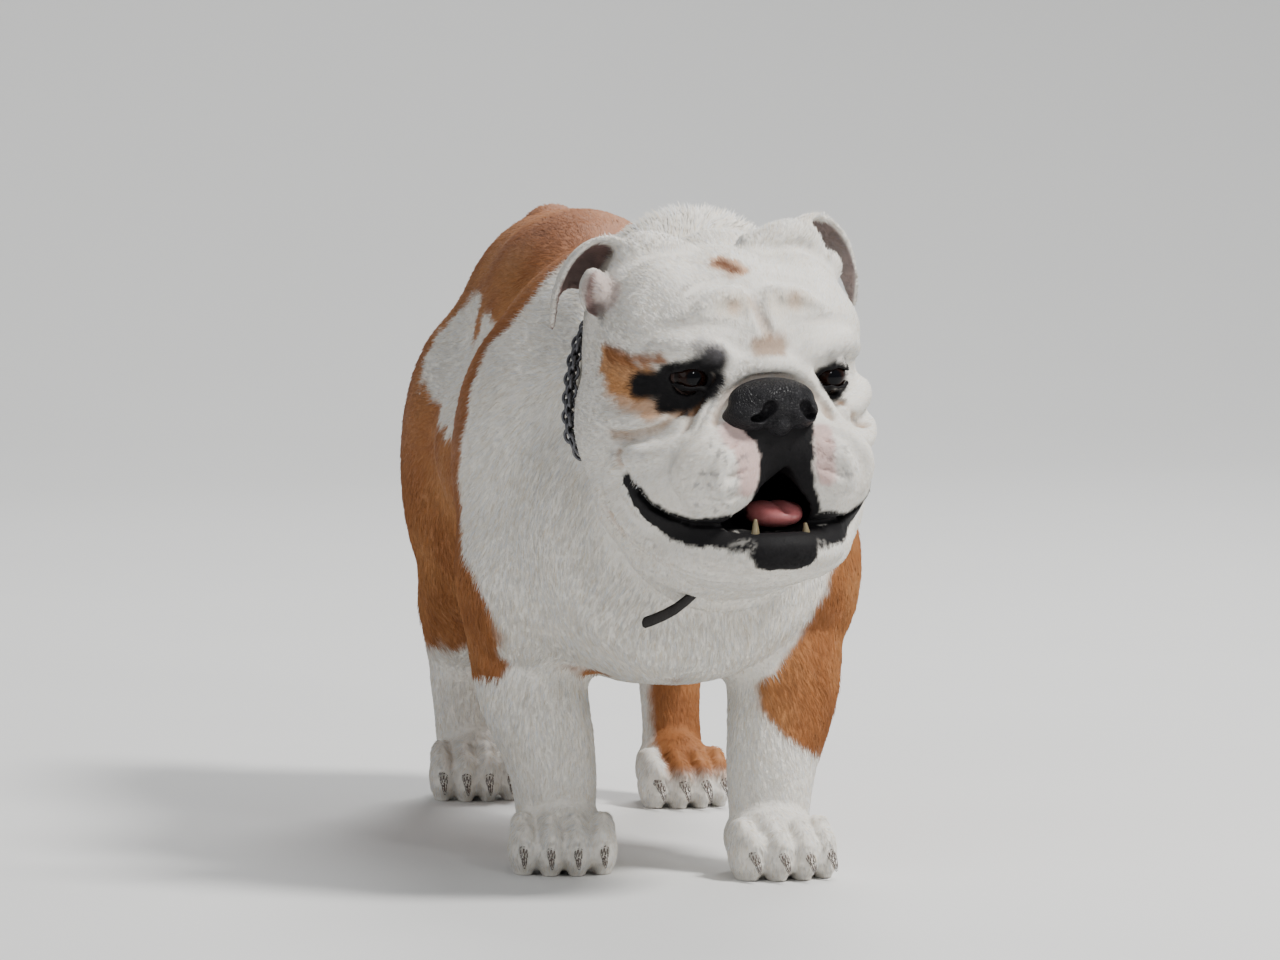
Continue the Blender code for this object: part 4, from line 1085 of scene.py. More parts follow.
    # The line halfway between the lips fills the gap between them with black: painted shade, beside the lips'
    # own black skin.
    halfway = [tuple((np.array(a) + b) / 2) for a, b in zip(LIP_LINE, LOWER_LIP)]
    for path, wide in ((LIP_LINE + front, 0.0052), (halfway + front, 0.0052), (LOWER_LIP, 0.0052)):
        for line in both_sides(path):
            found, distance, along = near_line(local, laid_on(local, line), 0.012)
            taper = wide * (0.65 + 0.35 * ramp(along, 0.0, 0.3))
            edge = distance + rough_lip[found] - taper
            lips[found] = np.maximum(lips[found], 1 - ramp(edge, -0.0006, 0.0010))
    chin = patch(local, [(-0.012, -0.104, -0.074), (0.010, -0.106, -0.074)], 0.0130, 0.003, 0.003, 57)
    chin_top = [(-0.031, -0.093, -0.066), (0, -0.104, -0.066), (0.030, -0.094, -0.066)]
    chin = np.maximum(chin, patch(local, chin_top, 0.0065, 0.003, 0.002, 58))
    # opening paints all skin inside the cut openings black: in the mouth and along its line this is painted
    # shade in the hollows; round the eyes the lids are black skin anyway.
    black = np.clip(np.maximum.reduce([band, lips, chin, opening]), 0, 1)
    # Pale grey specks along the chin's rim and beside it: painted highlight on the wet black lower lip.
    chin_rim = [(-0.018, -0.104, -0.0640), (0.004, -0.108, -0.0640), (0.024, -0.104, -0.0645)]
    rim = patch(local, chin_rim, 0.0014, 0.002)
    rim = np.maximum(rim, patch(local, [(-0.027, -0.099, -0.070), (-0.030, -0.094, -0.074)], 0.005, 0.004))
    rim = np.maximum(rim, patch(local, [(0.028, -0.099, -0.070), (0.026, -0.099, -0.077)], 0.003, 0.004))
    lip_highlight = ramp(layered(local, 0.0020, 59), 0.48, 0.60) * rim
    colour = blend(colour, BLACK, black)
    colour = blend(colour, WHITE * 0.6, lip_highlight * 0.4)
    bare = np.maximum(bare, np.maximum.reduce([band * 0.75, lips, opening, chin * 0.6]))
    near_eye, far_eye = (np.linalg.norm(local - np.array(eye), axis=1) for eye in (RIGHT_EYE, LEFT_EYE))
    below_eye = np.linalg.norm(local - np.array(RIGHT_EYE + Vector((-0.003, 0, -0.004))), axis=1)
    rough_eye = (layered(local, 0.003, 60) - 0.5) * 0.004
    colour = blend(colour, BLACK, 1 - ramp(below_eye + rough_eye, EYE_RADIUS + 0.0040, EYE_RADIUS + 0.0085))
    colour = blend(colour, BLACK, 1 - ramp(near_eye + rough_eye, EYE_RADIUS + 0.0035, EYE_RADIUS + 0.0060))
    colour = blend(colour, BLACK, 1 - ramp(far_eye + rough_eye, EYE_RADIUS + 0.0030, EYE_RADIUS + 0.0055))
    eyes = np.minimum(near_eye, far_eye)
    bare = np.maximum(bare, 1 - ramp(eyes, EYE_RADIUS + 0.0018, EYE_RADIUS + 0.0036))
    colour = blend(colour, BLACK, 1 - ramp(eyes, EYE_RADIUS + 0.0016, EYE_RADIUS + 0.0030))
    bare = np.maximum(bare, inward * 0.35)
    under_foot = ramp(0.0035 - z, 0.0, 0.002)
    # The bare skin in the collar's groove at the sides is painted darker: painted shadow under the chain,
    # with some dirt.
    collar = ramp(0.0085 - np.abs(ly - COLLAR_DEPTH - COLLAR_LEAN * lz), 0.0, 0.003)
    collar *= ramp(lz, -0.030, -0.015) * ramp(0.088 - lz, 0.0, 0.015) * (np.abs(lx) > 0.04)
    colour = blend(colour, CREAM * 0.45, collar * 0.7)
    bare = np.maximum.reduce([bare, under_foot, collar])
    return colour, length, np.clip(bare, 0, 1), head


def beside_claws(points, shift):
    """1 on the skin right beside a claw and 0 a few millimetres away."""
    mask = np.zeros(len(points))
    for name, item in frame["nodes"].items():
        if name.startswith("claw_"):
            place = np.array(item.matrix_world)
            claw = coordinates(item.data) @ place[:3, :3].T + place[:3, 3] - np.array(shift)
            found, distance, _ = near_line(points, claw, 0.007)
            mask[found] = np.maximum(mask[found], 1 - ramp(distance, 0.0026, 0.0050))
    return mask


def groomed(points, normals, head):
    """The lie of the coat: a direction along the skin at each point."""
    local = in_head(points)
    away = local - np.array((0, -0.115, 0.012))
    away /= np.linalg.norm(away, axis=1)[:, None]
    away[:, 2] -= 0.35 * ramp(-local[:, 2], 0.0, 0.05)
    on_head = away @ np.array(head_frame())[:3, :3].T
    x, y, z = points.T
    down = ramp(0.24 - z, -0.05, 0.10)
    chest = ramp(-y, -0.05, 0.06) * ramp(0.34 - z, 0.0, 0.08)
    backwards = 1 - 0.9 * np.maximum(down, chest)
    trunk = np.column_stack([np.zeros(len(points)), backwards, -0.35 - 0.9 * down - 0.9 * chest])
    trunk[:, 0] += 0.5 * chest * np.sign(x) * ramp(np.abs(x), 0.0, 0.04)
    trunk /= np.linalg.norm(trunk, axis=1)[:, None]
    way = trunk * (1 - head)[:, None] + on_head * head[:, None]
    swirl = np.column_stack([grain(points, 0.030, seed) - 0.5 for seed in (61, 62, 63)])
    clump = np.column_stack([grain(points, 0.0065, seed) - 0.5 for seed in (64, 65, 66)])
    way = way + swirl * 0.50 + clump * 0.16
    way -= normals * np.sum(way * normals, axis=1)[:, None]
    return way / np.maximum(np.linalg.norm(way, axis=1), 1e-9)[:, None]


def triangles_of(mesh):
    mesh.calc_loop_triangles()
    corners = np.empty(len(mesh.loop_triangles) * 3, np.int32)
    mesh.loop_triangles.foreach_get("vertices", corners)
    return corners.reshape(-1, 3)


def unwrapped(points, normals, head):
    """Each point's place on an unwrap of the skin: six faces for each of the dog's seven parts."""
    x, y, z = points.T
    part = np.ones(len(points), int)
    part[(z < 0.15) & (y < 0.14) & (x < 0)] = 2
    part[(z < 0.15) & (y < 0.14) & (x >= 0)] = 3
    part[(z < 0.17) & (y > 0.22) & (x < 0)] = 4
    part[(z < 0.17) & (y > 0.22) & (x >= 0)] = 5
    part[(y > 0.42) & (z > 0.33)] = 6
    part[head > 0.5] = 0
    axis = np.argmax(np.abs(normals), axis=1)
    sign = np.take_along_axis(normals, axis[:, None], 1)[:, 0] > 0
    first = np.where(axis == 0, y, x)
    second = np.where(axis == 2, y, z)
    place = np.zeros((len(points), 2))
    for number in range(7):
        chosen = part == number
        if not chosen.any():
            continue
        for direction in range(6):
            tile = chosen & (axis == direction // 2) & (sign == bool(direction % 2))
            if not tile.any():
                continue
            for column, values, offset in ((0, first, number), (1, second, direction)):
                low, high = values[chosen].min() - 0.002, values[chosen].max() + 0.002
                share = 0.92 * (values[tile] - low) / (high - low)
                place[tile, column] = (offset + 0.04 + share) / (7 if column == 0 else 6)
    return place


def mesh_from(name, points, faces, colours=None):
    """A mesh from arrays of points and triangles, with a colour for each point."""
    mesh = bpy.data.meshes.new(name)
    mesh.vertices.add(len(points))
    mesh.vertices.foreach_set("co", points.astype(np.float32).ravel())
    mesh.loops.add(faces.size)
    mesh.loops.foreach_set("vertex_index", faces.astype(np.int32).ravel())
    mesh.polygons.add(len(faces))
    mesh.polygons.foreach_set("loop_start", np.arange(0, faces.size, faces.shape[1], dtype=np.int32))
    mesh.update()
    if colours is not None:
        paint(mesh, colours)
    return mesh


def paint(mesh, colours):
    layer = mesh.attributes.new("tone", "FLOAT_COLOR", "POINT")
    opaque = np.column_stack([colours, np.ones(len(colours))])
    layer.data.foreach_set("color", opaque.astype(np.float32).ravel())


def smooth(mesh):
    mesh.polygons.foreach_set("use_smooth", np.ones(len(mesh.polygons), bool))


def coat(skin, colour, length, bare, head, count, shift):
    """Tufts of short hair rooted in the skin, as pieces of under 200,000 triangles."""
    rng = np.random.default_rng(20)
    points = coordinates(skin)
    normals = normals_of(skin)
    faces = triangles_of(skin)
    corners = points[faces]
    area = np.linalg.norm(np.cross(corners[:, 1] - corners[:, 0], corners[:, 2] - corners[:, 0]), axis=1)
    hair = length[faces].mean(1)
    weight = area * (1 - bare[faces].mean(1)) * (0.0060 / hair) ** 1.4
    chosen = np.searchsorted(np.cumsum(weight) / weight.sum(), rng.random(count))
    chosen = np.clip(chosen, 0, len(faces) - 1)
    share = rng.random((count, 2))
    over = share.sum(1) > 1
    share[over] = 1 - share[over]
    blend_of = np.column_stack([1 - share.sum(1), share])[:, :, None]
    trio = faces[chosen]
    root = (points[trio] * blend_of).sum(1)
    normal = (normals[trio] * blend_of).sum(1)
    normal /= np.linalg.norm(normal, axis=1)[:, None]
    tone = (colour[trio] * blend_of).sum(1)
    hair = (length[trio] * blend_of[:, :, 0]).sum(1)
    on_head = (head[trio] * blend_of[:, :, 0]).sum(1)
    way = groomed(root, normal, on_head)
    across = np.cross(normal, way)
    way = way + across * rng.normal(0, 0.16, count)[:, None]
    way /= np.linalg.norm(way, axis=1)[:, None]
    across = np.cross(normal, way)
    hair = hair * rng.uniform(0.70, 1.30, count)
    width = (0.00028 + 0.060 * hair) * rng.uniform(0.75, 1.25, count)
    nape = ramp(root[:, 2], 0.395, 0.42) * ramp(0.08 - root[:, 1], 0.0, 0.04)
    lift = 0.07 + 0.10 * rng.random(count) + 0.25 * nape
    along = way * np.cos(lift)[:, None] + normal * np.sin(lift)[:, None]
    above = normal * np.cos(lift)[:, None] - way * np.sin(lift)[:, None]
    base = root - normal * 0.00025
    tip = base + along * hair[:, None]
    left, right = base - across * (width / 2)[:, None], base + across * (width / 2)[:, None]
    crest = base + above * (width * 0.45 + 0.0002)[:, None] + along * (hair * 0.25)[:, None]
    tufts = np.stack([left, right, crest, tip], axis=1)
    tufts[:, :, 2] = np.maximum(tufts[:, :, 2], SOLE)
    tufts += np.array(shift)
    bright = rng.normal(1.0, 0.085, count)[:, None]
    warm = np.array((1.0, 0.97, 0.92)) ** rng.normal(0, 1.2, count)[:, None]
    tone = np.clip(tone * bright * warm, 0.004, 0.92)
    # Each tuft is painted darker at its root, as painted shade among the hairs, and a little lighter at its
    # tip.
    root_shade_tones = np.stack([tone * 0.84, tone * 0.84, tone, np.clip(tone * 1.06, 0, 0.94)], axis=1)
    bent = normal[:, None, :] + np.stack([-across * 0.22, across * 0.22, normal * 0.2, way * 0.08], axis=1)
    bent /= np.linalg.norm(bent, axis=2)[:, :, None]
    place = unwrapped(root, normal, on_head)
    offsets = np.array([(-0.0014, -0.0012), (0.0014, -0.0012), (0.0, 0.0), (0.0, 0.0016)])
    spots = place[:, None, :] + offsets
    order = np.argsort((on_head > 0.5) * -10.0 + root[:, 1], kind="stable")
    pieces = []
    per_piece = 64000
    pattern = np.array([(0, 3, 2), (2, 3, 1), (0, 2, 1)])
    for number in range(0, count, per_piece):
        part = order[number:number + per_piece]
        base_index = np.arange(len(part))[:, None, None] * 4
        triangles = (base_index + pattern).reshape(-1, 3)
        name = f"coat_{number // per_piece + 1}"
        mesh = mesh_from(name, tufts[part].reshape(-1, 3), triangles, root_shade_tones[part].reshape(-1, 3))
        layer = mesh.uv_layers.new(name="OFBake")
        layer.data.foreach_set("uv", spots[part].reshape(-1, 2)[triangles.ravel()].astype(np.float32).ravel())
        smooth(mesh)
        mesh.normals_split_custom_set_from_vertices(bent[part].reshape(-1, 3).astype(np.float32).tolist())
        pieces.append(new_object(name, mesh))
    return pieces


def material(name, roughness, subsurface=0.0, coat_weight=0.0, metallic=0.0, specular=0.5):
    """A material with its shader, whose constant values are set on the shader's own sockets."""
    made = bpy.data.materials.new(name)
    made.use_nodes = True
    shader = made.node_tree.nodes["Principled BSDF"]
    shader.inputs["Roughness"].default_value = roughness
    shader.inputs["Metallic"].default_value = metallic
    shader.inputs["Specular IOR Level"].default_value = specular
    shader.inputs["Subsurface Weight"].default_value = subsurface
    shader.inputs["Subsurface Radius"].default_value = (0.006, 0.003, 0.002)
    shader.inputs["Subsurface Scale"].default_value = 0.6
    shader.inputs["Coat Weight"].default_value = coat_weight
    shader.inputs["Coat Roughness"].default_value = 0.06
    return made, shader


def node(made, kind, **values):
    item = made.node_tree.nodes.new(kind)
    for name, value in values.items():
        if name in item.inputs:
            item.inputs[name].default_value = value
        else:
            setattr(item, name, value)
    return item


def link(made, source, target):
    made.node_tree.links.new(source, target)


def bumped(made, shader, texture, strength, distance):
    bump = node(made, "ShaderNodeBump", Strength=strength, Distance=distance)
    link(made, texture, bump.inputs["Height"])
    link(made, bump.outputs["Normal"], shader.inputs["Normal"])


def toned(made, shader, texture, low, high):
    """Base colour: the painted tone, made darker and lighter by a texture."""
    tone = node(made, "ShaderNodeAttribute", attribute_name="tone")
    spread = node(made, "ShaderNodeMapRange")
    spread.inputs["To Min"].default_value = low
    spread.inputs["To Max"].default_value = high
    link(made, texture, spread.inputs["Value"])
    scale = node(made, "ShaderNodeVectorMath", operation="SCALE")
    link(made, tone.outputs["Color"], scale.inputs[0])
    link(made, spread.outputs["Result"], scale.inputs["Scale"])
    link(made, scale.outputs["Vector"], shader.inputs["Base Color"])


def place_of(made):
    return node(made, "ShaderNodeTexCoord").outputs["Object"]


def noise_node(made, scale, detail=3.0, stretch=(1, 1, 1)):
    mapping = node(made, "ShaderNodeMapping")
    mapping.inputs["Scale"].default_value = stretch
    link(made, place_of(made), mapping.inputs["Vector"])
    grainy = node(made, "ShaderNodeTexNoise", Scale=scale, Detail=detail)
    link(made, mapping.outputs["Vector"], grainy.inputs["Vector"])
    return grainy.outputs["Fac"]


def skin_material():
    made, shader = material("short coat skin", 0.68, 0.04, specular=0.17)
    toned(made, shader, noise_node(made, 420.0, 4.0), 0.85, 1.08)
    bumped(made, shader, noise_node(made, 900.0, 3.0), 0.35, 0.0006)
    return made


def hair_material():
    made, shader = material("short coat", 0.62, specular=0.16)
    toned(made, shader, noise_node(made, 250.0, 2.0), 0.86, 1.08)
    return made


def leather_material():
    made, shader = material("wet nose", 0.46, specular=0.24)
    cells = node(made, "ShaderNodeTexVoronoi", Scale=520.0, feature="DISTANCE_TO_EDGE")
    link(made, place_of(made), cells.inputs["Vector"])
    ramp_node = node(made, "ShaderNodeMapRange")
    ramp_node.inputs["From Max"].default_value = 0.18
    link(made, cells.outputs["Distance"], ramp_node.inputs["Value"])
    bumped(made, shader, ramp_node.outputs["Result"], 0.8, 0.0006)
    mix = node(made, "ShaderNodeMix", data_type="RGBA")
    mix.inputs[6].default_value = (0.003, 0.003, 0.0035, 1)
    mix.inputs[7].default_value = (0.019, 0.018, 0.021, 1)
    link(made, noise_node(made, 160.0), mix.inputs["Factor"])
    link(made, mix.outputs[2], shader.inputs["Base Color"])
    return made


def mottled(name, low, high, scale, roughness, bump=0.0, **more):
    """A material whose colour wanders between two, with a fine bump."""
    made, shader = material(name, roughness, **more)
    mix = node(made, "ShaderNodeMix", data_type="RGBA")
    mix.inputs[6].default_value = (*low, 1)
    mix.inputs[7].default_value = (*high, 1)
    link(made, noise_node(made, scale), mix.inputs["Factor"])
    link(made, mix.outputs[2], shader.inputs["Base Color"])
    if bump:
        bumped(made, shader, noise_node(made, scale * 4), bump, 0.0004)
    return made


def shown(name, mesh, made, slot, *nodes):
    """A finished piece that rides on the dog and stands for those CAD nodes."""
    mesh.name = name
    piece = new_object(name, mesh)
    mesh.materials.clear()
    mesh.materials.append(made)
    smooth(mesh)
    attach(piece, "root")
    if nodes:
        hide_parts(*nodes)
    return piece


def eyeball(side, made, shift):
    """An eye with a bulging cornea and iris and pupil as painted rings."""
    bm = bmesh.new()
    bmesh.ops.create_icosphere(bm, subdivisions=5, radius=1)
    mesh = bpy.data.meshes.new("eye")
    bm.to_mesh(mesh)
    bm.free()
    gaze = Vector((side * 0.10 - 0.06, -1, -0.02)).normalized()
    way = coordinates(mesh)
    angle = np.degrees(np.arccos(np.clip(way @ np.array(gaze), -1, 1)))
    across = np.array(gaze.cross(Vector((0, 0, 1))).normalized())
    up = np.cross(np.array(gaze), across)
    round_about = np.arctan2(way @ up, way @ across)
    spokes = np.column_stack([np.cos(round_about), np.sin(round_about), angle / 160])
    fibres = grain(spokes * 0.010, 0.0009, 71)
    radius = EYE_RADIUS - 0.0002 + 0.0007 * (1 - ramp(angle, 20, 48))
    colour = np.tile((0.05, 0.034, 0.030), (len(way), 1))
    iris = np.array((0.011, 0.0038, 0.0020)) * (0.5 + 1.0 * fibres)[:, None]
    colour = blend(colour, (0.010, 0.007, 0.006), 1 - ramp(angle, 62, 70))
    colour = blend(colour, iris, 1 - ramp(angle, 46, 52))
    colour = blend(colour, (0.002, 0.002, 0.003), 1 - ramp(angle, 20, 24))
    moved_to(mesh, way * radius[:, None])
    place = head_frame() @ Matrix.Translation(LEFT_EYE if side > 0 else RIGHT_EYE)
    mesh.transform(Matrix.Translation(shift) @ place)
    paint(mesh, colour)
    name = "left" if side > 0 else "right"
    return shown(f"eyeball_{name}", mesh, made, "eye", f"eye_{name}")


def nose_leather(shift):
    """The broad nose with its comma nostrils, the split below them and the wings."""
    clay = Clay()
    clay.ball((-0.002, -0.082, 0.020), (0.029, 0.018, 0.0145))
    clay.ball((-0.018, -0.084, 0.012), (0.016, 0.014, 0.011))
    clay.ball((0.014, -0.085, 0.013), (0.014, 0.014, 0.012))
    clay.ball((-0.026, -0.080, 0.009), (0.009, 0.012, 0.007))
    clay.ball((0, -0.084, 0.006), (0.010, 0.013, 0.010))
    mesh = clay.settled(0.0011, 6)
    tools = []
    for aside, way in ((-0.0100, -1), (0.0154, 1)):
        tools.append(ball_mesh((aside, -0.102, 0.0160), (0.0052, 0.011, 0.0060), 20))
        tools.append(ball_mesh((aside + way * 0.0030, -0.100, 0.0120), (0.0046, 0.011, 0.0042), 16))
        tools.append(ball_mesh((aside + way * 0.0068, -0.097, 0.0100), (0.0062, 0.011, 0.0028), 16))
    mesh = fused(cut_with(mesh, tools), 0.0009, 3)
    points = coordinates(mesh)
    normals = normals_of(mesh)
    rise = np.zeros(len(points))
    for path, width, height in (
        ([(0.0035, -0.099, 0.027), (0.0035, -0.101, 0.014), (0.0030, -0.099, 0.000)], 1.4, -1.5),
        ([(-0.019, -0.096, 0.022), (-0.010, -0.100, 0.0250), (-0.003, -0.100, 0.020)], 1.8, 0.9),
        ([(0.022, -0.094, 0.022), (0.015, -0.098, 0.0250), (0.008, -0.100, 0.019)], 1.8, 0.9),
        ([(-0.028, -0.088, 0.005), (-0.018, -0.095, 0.0045), (-0.008, -0.098, 0.002)], 1.4, -0.9),
        ([(0.026, -0.088, 0.005), (0.020, -0.094, 0.0040), (0.011, -0.098, 0.002)], 1.4, -0.9),
    ):
        found, distance, along = near_line(points, dense(path, 0.0006), width * 0.003)
        ends = ramp(np.minimum(along, 1 - along), -0.02, 0.2)
        rise[found] += height * 0.001 * np.exp(-((distance / (width * 0.001)) ** 2)) * ends
    moved_to(mesh, points + normals * rise[:, None])
    mesh.transform(Matrix.Translation(shift) @ head_frame())
    return mesh


def tongue_mesh(shift):
    mesh = ball_mesh((0, 0, 0), (1, 1, 1), 56)
    way = coordinates(mesh)
    x, y, z = way.T
    groove = np.exp(-((x / 0.16) ** 2)) * ramp(z, 0.1, 0.6) * 0.28
    cupped = x * x * 0.30 * ramp(z, -0.2, 0.4)
    rough = (layered(way, 0.12, 81) - 0.5) * 0.06
    way[:, 2] = z * (1 + rough) - groove + cupped
    moved_to(mesh, way * (0.0176, 0.0236, 0.0088))
    mesh.transform(Matrix.Translation(shift) @ head_frame() @ Matrix.Translation((0.009, -0.060, -0.0545)))
    return mesh


def teeth_mesh(shift):
    """The two lower canines."""
    clay = Clay()
    for aside, top in ((-0.0170, -0.0555), (0.0190, -0.0590)):
        root, tip = Vector((aside, -0.0895, -0.0720)), Vector((aside * 0.96, -0.0895, top))
        clay.roll([root, root.lerp(tip, 0.5) + Vector((0, -0.0008, 0)), tip], [0.0033, 0.0029, 0.0014])
    mesh = clay.settled(0.0006, 3)
    mesh.transform(Matrix.Translation(shift) @ head_frame())
    return mesh


def chain_mesh(loop, shift):
    """Twisted links of round wire round the neck, in two rows side by side."""
    count = len(loop)
    total = sum((loop[(n + 1) % count] - loop[n]).length for n in range(count))
    pitch, wire, long, wide, apart = 0.0060, 0.0012, 0.0045, 0.0033, 0.0029
    links = 2 * round(total / pitch / 2)
    points, faces = [], []
    centre = sum(loop, Vector()) / count
    for number in range(2 * links):
        row = 1 if number < links else -1
        spot = count * (number % links + 0.25 * row) / links
        first, share = int(spot), spot % 1
        here = loop[first % count].lerp(loop[(first + 1) % count], share)
        along = (loop[(first + 2) % count] - loop[(first - 1) % count]).normalized()
        out = here - centre
        out = (out - along * out.dot(along)).normalized()
        here = here + out * (0.0024 * (1 - hidden((head_frame().inverted() @ here).z)))
        here = here + along.cross(out) * (apart * row)
        turn = math.radians(42 if number % 2 else -42)
        side = along.cross(out) * math.cos(turn) + out * math.sin(turn)
        face = along.cross(side).normalized()
        start = len(points)
        rings, sides = 20, 7
        for step in range(rings):
            angle = 2 * math.pi * step / rings
            middle = here + along * (math.cos(angle) * long) + side * (math.sin(angle) * wide)
            outward = (along * math.cos(angle) * wide + side * math.sin(angle) * long).normalized()
            for corner in range(sides):
                bend = 2 * math.pi * corner / sides
                points.append(middle + (outward * math.cos(bend) + face * math.sin(bend)) * wire)
        for step in range(rings):
            for corner in range(sides):
                a = start + step * sides + corner
                b = start + step * sides + (corner + 1) % sides
                c = start + (step + 1) % rings * sides + (corner + 1) % sides
                d = start + (step + 1) % rings * sides + corner
                faces.append((a, b, c, d))
    mesh = mesh_from("chain", np.array(points) + np.array(shift), np.array(faces))
    return mesh


def strap_mesh(tree, shift):
    """The loose end of the leather strap, a little cupped, with a rounded tip."""
    root, normal, _, _ = tree.find_nearest(STRAP_ROOT)
    face = (normal + STRAP_TWIST).normalized()
    across = STRAP_RUN.cross(face).normalized()
    steps = 26
    last = len(STRAP_HEIGHTS) - 1
    rings = []
    for number in range(steps):
        share = number / (steps - 1)
        height = float(np.interp(share * last, range(last + 1), STRAP_HEIGHTS))
        centre = root + STRAP_RUN * (STRAP_STEP * last * share) + normal * height
        tip = 1 if share < 0.93 else math.sqrt(max(0.08, 1 - ((share - 0.93) / 0.075) ** 2))
        ring = []
        for corner in range(16):
            angle = 2 * math.pi * corner / 16
            wide = math.copysign(abs(math.cos(angle)) ** 0.35, math.cos(angle)) * STRAP_HALF_WIDTH * tip
            thick = math.copysign(abs(math.sin(angle)) ** 0.6, math.sin(angle)) * STRAP_HALF_THICKNESS
            thick -= 0.0004 * (wide / STRAP_HALF_WIDTH) ** 2
            ring.append(centre + across * wide + face * thick)
        rings.append(ring)
    mesh = loft(rings)
    mesh.transform(Matrix.Translation(shift))
    return mesh


def backdrop():
    """A pale floor that turns up into a wall far behind the dog."""
    profile = [(-4.0, 0.0), (2.5, 0.0)]
    for step in range(1, 13):
        angle = math.radians(90 * step / 12)
        profile.append((2.5 + 1.5 * math.sin(angle), 1.5 - 1.5 * math.cos(angle)))
    profile.append((4.0, 6.0))
    points = [(x, y, z) for y, z in profile for x in (-6.0, 6.0)]
    faces = [(2 * n, 2 * n + 1, 2 * n + 3, 2 * n + 2) for n in range(len(profile) - 1)]
    mesh = mesh_from("floor", np.array(points), np.array(faces))
    smooth(mesh)
    mesh.materials.append(mottled("pale floor", (0.70, 0.70, 0.69), (0.74, 0.74, 0.73), 3.0, 0.8))
    floor = new_object("floor", mesh)
    floor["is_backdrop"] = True


def lamp(name, place, size, power, target=(0, 0, 0.2), colour=(1, 1, 1)):
    light = bpy.data.lights.new(name, "AREA")
    light.shape = "DISK"
    light.size = size
    light.energy = power
    light.color = colour
    item = bpy.data.objects.new(name, light)
    bpy.context.scene.collection.objects.link(item)
    item.location = place
    item.rotation_mode = "QUATERNION"
    item.rotation_quaternion = (Vector(target) - Vector(place)).to_track_quat("-Z", "Y")


def studio_light():
    world = bpy.data.worlds.new("studio")
    bpy.context.scene.world = world
    world.use_nodes = True
    background = world.node_tree.nodes["Background"]
    background.inputs["Color"].default_value = (0.93, 0.96, 1.0, 1)
    background.inputs["Strength"].default_value = 0.36
    lamp("key", (1.7, -1.1, 2.9), 0.7, 150, colour=(1.0, 0.985, 0.96))
    lamp("fill", (-2.6, -1.8, 1.2), 2.0, 14)
    lamp("back", (0.8, 2.0, 2.4), 1.2, 60)
    lamp("glint", (0.72, -3.07, 1.56), 0.35, 14)


PHOTO_AZIMUTH = math.radians(-11)
PHOTO_ELEVATION = math.radians(5.5)
PHOTO_DISTANCE = 10.0
PHOTO_SCALE = 15500.0  # how many of its pixels a metre covers at a metre's distance
PHOTO_SIZE = (1280, 960)
PHOTO_ORIGIN = (667, 870)  # where the design frame's origin falls in the picture


def photo_camera(shift):
    a, e = PHOTO_AZIMUTH, PHOTO_ELEVATION
    back = Vector((math.sin(a) * math.cos(e), -math.cos(a) * math.cos(e), math.sin(e)))
    right = Vector((math.cos(a), math.sin(a), 0))
    up = back.cross(right)
    camera = bpy.data.cameras.new("camera")
    camera.sensor_width = 36
    camera.lens = 36 * PHOTO_SCALE / PHOTO_SIZE[0]
    item = bpy.data.objects.new("camera", camera)
    bpy.context.scene.collection.objects.link(item)
    step = PHOTO_DISTANCE / PHOTO_SCALE
    aside = (PHOTO_ORIGIN[0] - PHOTO_SIZE[0] / 2) * step
    above = (PHOTO_ORIGIN[1] - PHOTO_SIZE[1] / 2) * step
    item.location = back * PHOTO_DISTANCE - right * aside + up * above + Vector(shift)
    item.rotation_mode = "QUATERNION"
    item.rotation_quaternion = back.to_track_quat("Z", "Y")
    camera.clip_start, camera.clip_end = 0.1, 100
    bpy.context.scene.camera = item


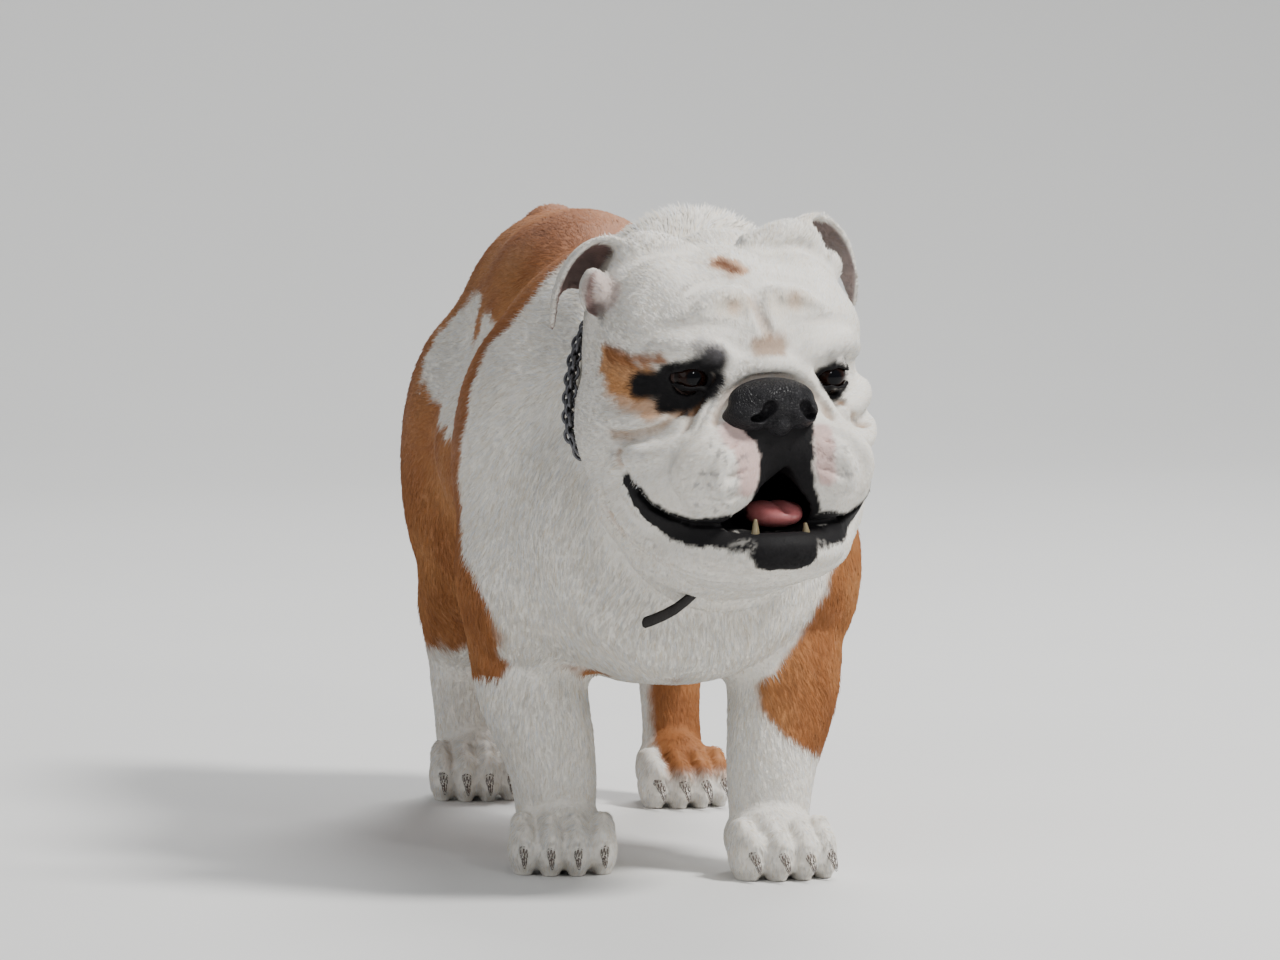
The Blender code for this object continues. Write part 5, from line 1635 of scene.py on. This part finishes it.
def main():
    low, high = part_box("eye_left")
    shift = (low + high) / 2 - head_frame() @ LEFT_EYE
    skin, opening, depth = flesh()
    points = coordinates(skin)
    normals = normals_of(skin)
    colour, length, bare, head = looks(points, normals, opening, depth)
    points -= normals * (COAT_DEPTH * (1 - bare))[:, None]
    points[:, 2] = np.maximum(points[:, 2], SOLE)
    moved_to(skin, points)
    paint(skin, colour)
    claws = beside_claws(points, shift)
    moved_to(skin, points - normals * (CLAW_RISE * claws)[:, None])
    bare = np.maximum(bare, claws)
    hairs = coat(skin, colour, length, bare, head, TUFTS, shift)
    hair_look = hair_material()
    for piece in hairs:
        piece.data.materials.append(hair_look)
        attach(piece, "root")
    tree = surface_tree(skin, Matrix.Identity(4))
    loop = collar_loop(skin)
    skin.transform(Matrix.Translation(shift))
    flesh_nodes = ["head", "neck", "torso", "tail", "ear_left", "ear_right"]
    flesh_nodes += [f"leg_{end}_{side}" for end in ("front", "hind") for side in ("left", "right")]
    shown("skin", skin, skin_material(), "white_coat", *flesh_nodes)

    glossy, shader = material("eye", 0.05, specular=0.14)
    toned(glossy, shader, noise_node(glossy, 900.0), 0.85, 1.1)
    for side in (-1, 1):
        eyeball(side, glossy, shift)
    shown("nose_leather", nose_leather(shift), leather_material(), "nose_leather", "nose")
    flesh_pink = mottled("tongue", (0.48, 0.11, 0.12), (0.70, 0.26, 0.25), 300.0, 0.30, 0.5,
                         subsurface=0.15, coat_weight=0.4)
    shown("tongue_wet", tongue_mesh(shift), flesh_pink, "tongue", "tongue")
    # Yellowed teeth, darker than their stain alone: painted shade inside the mouth.
    enamel_with_shade = mottled("teeth", (0.11, 0.08, 0.036), (0.23, 0.19, 0.105), 240.0, 0.30, 0.1)
    shown("teeth", teeth_mesh(shift), enamel_with_shade, "claw_horn")
    steel = mottled("dark steel", (0.05, 0.05, 0.055), (0.20, 0.20, 0.215), 300.0, 0.34, 0.2, metallic=1.0)
    shown("chain_links", chain_mesh(loop, shift), steel, "steel_chain", "collar_chain")
    leather = mottled("strap leather", (0.006, 0.005, 0.005), (0.020, 0.017, 0.016), 260.0, 0.55, 0.5,
                      specular=0.2)
    shown("strap_end", strap_mesh(tree, shift), leather, "strap_leather", "collar_strap")
    horn = mottled("claw horn", (0.035, 0.028, 0.024), (0.17, 0.13, 0.11), 350.0, 0.35, 0.2)
    for name, item in frame["nodes"].items():
        if name.startswith("claw_"):
            item.data.materials.clear()
            item.data.materials.append(horn)
            round_off = item.modifiers.new("Round", "SUBSURF")
            round_off.levels = round_off.render_levels = 1
    backdrop()
    studio_light()
    photo_camera(shift)
    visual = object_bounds()
    return visual


VISUAL_BOX = main()
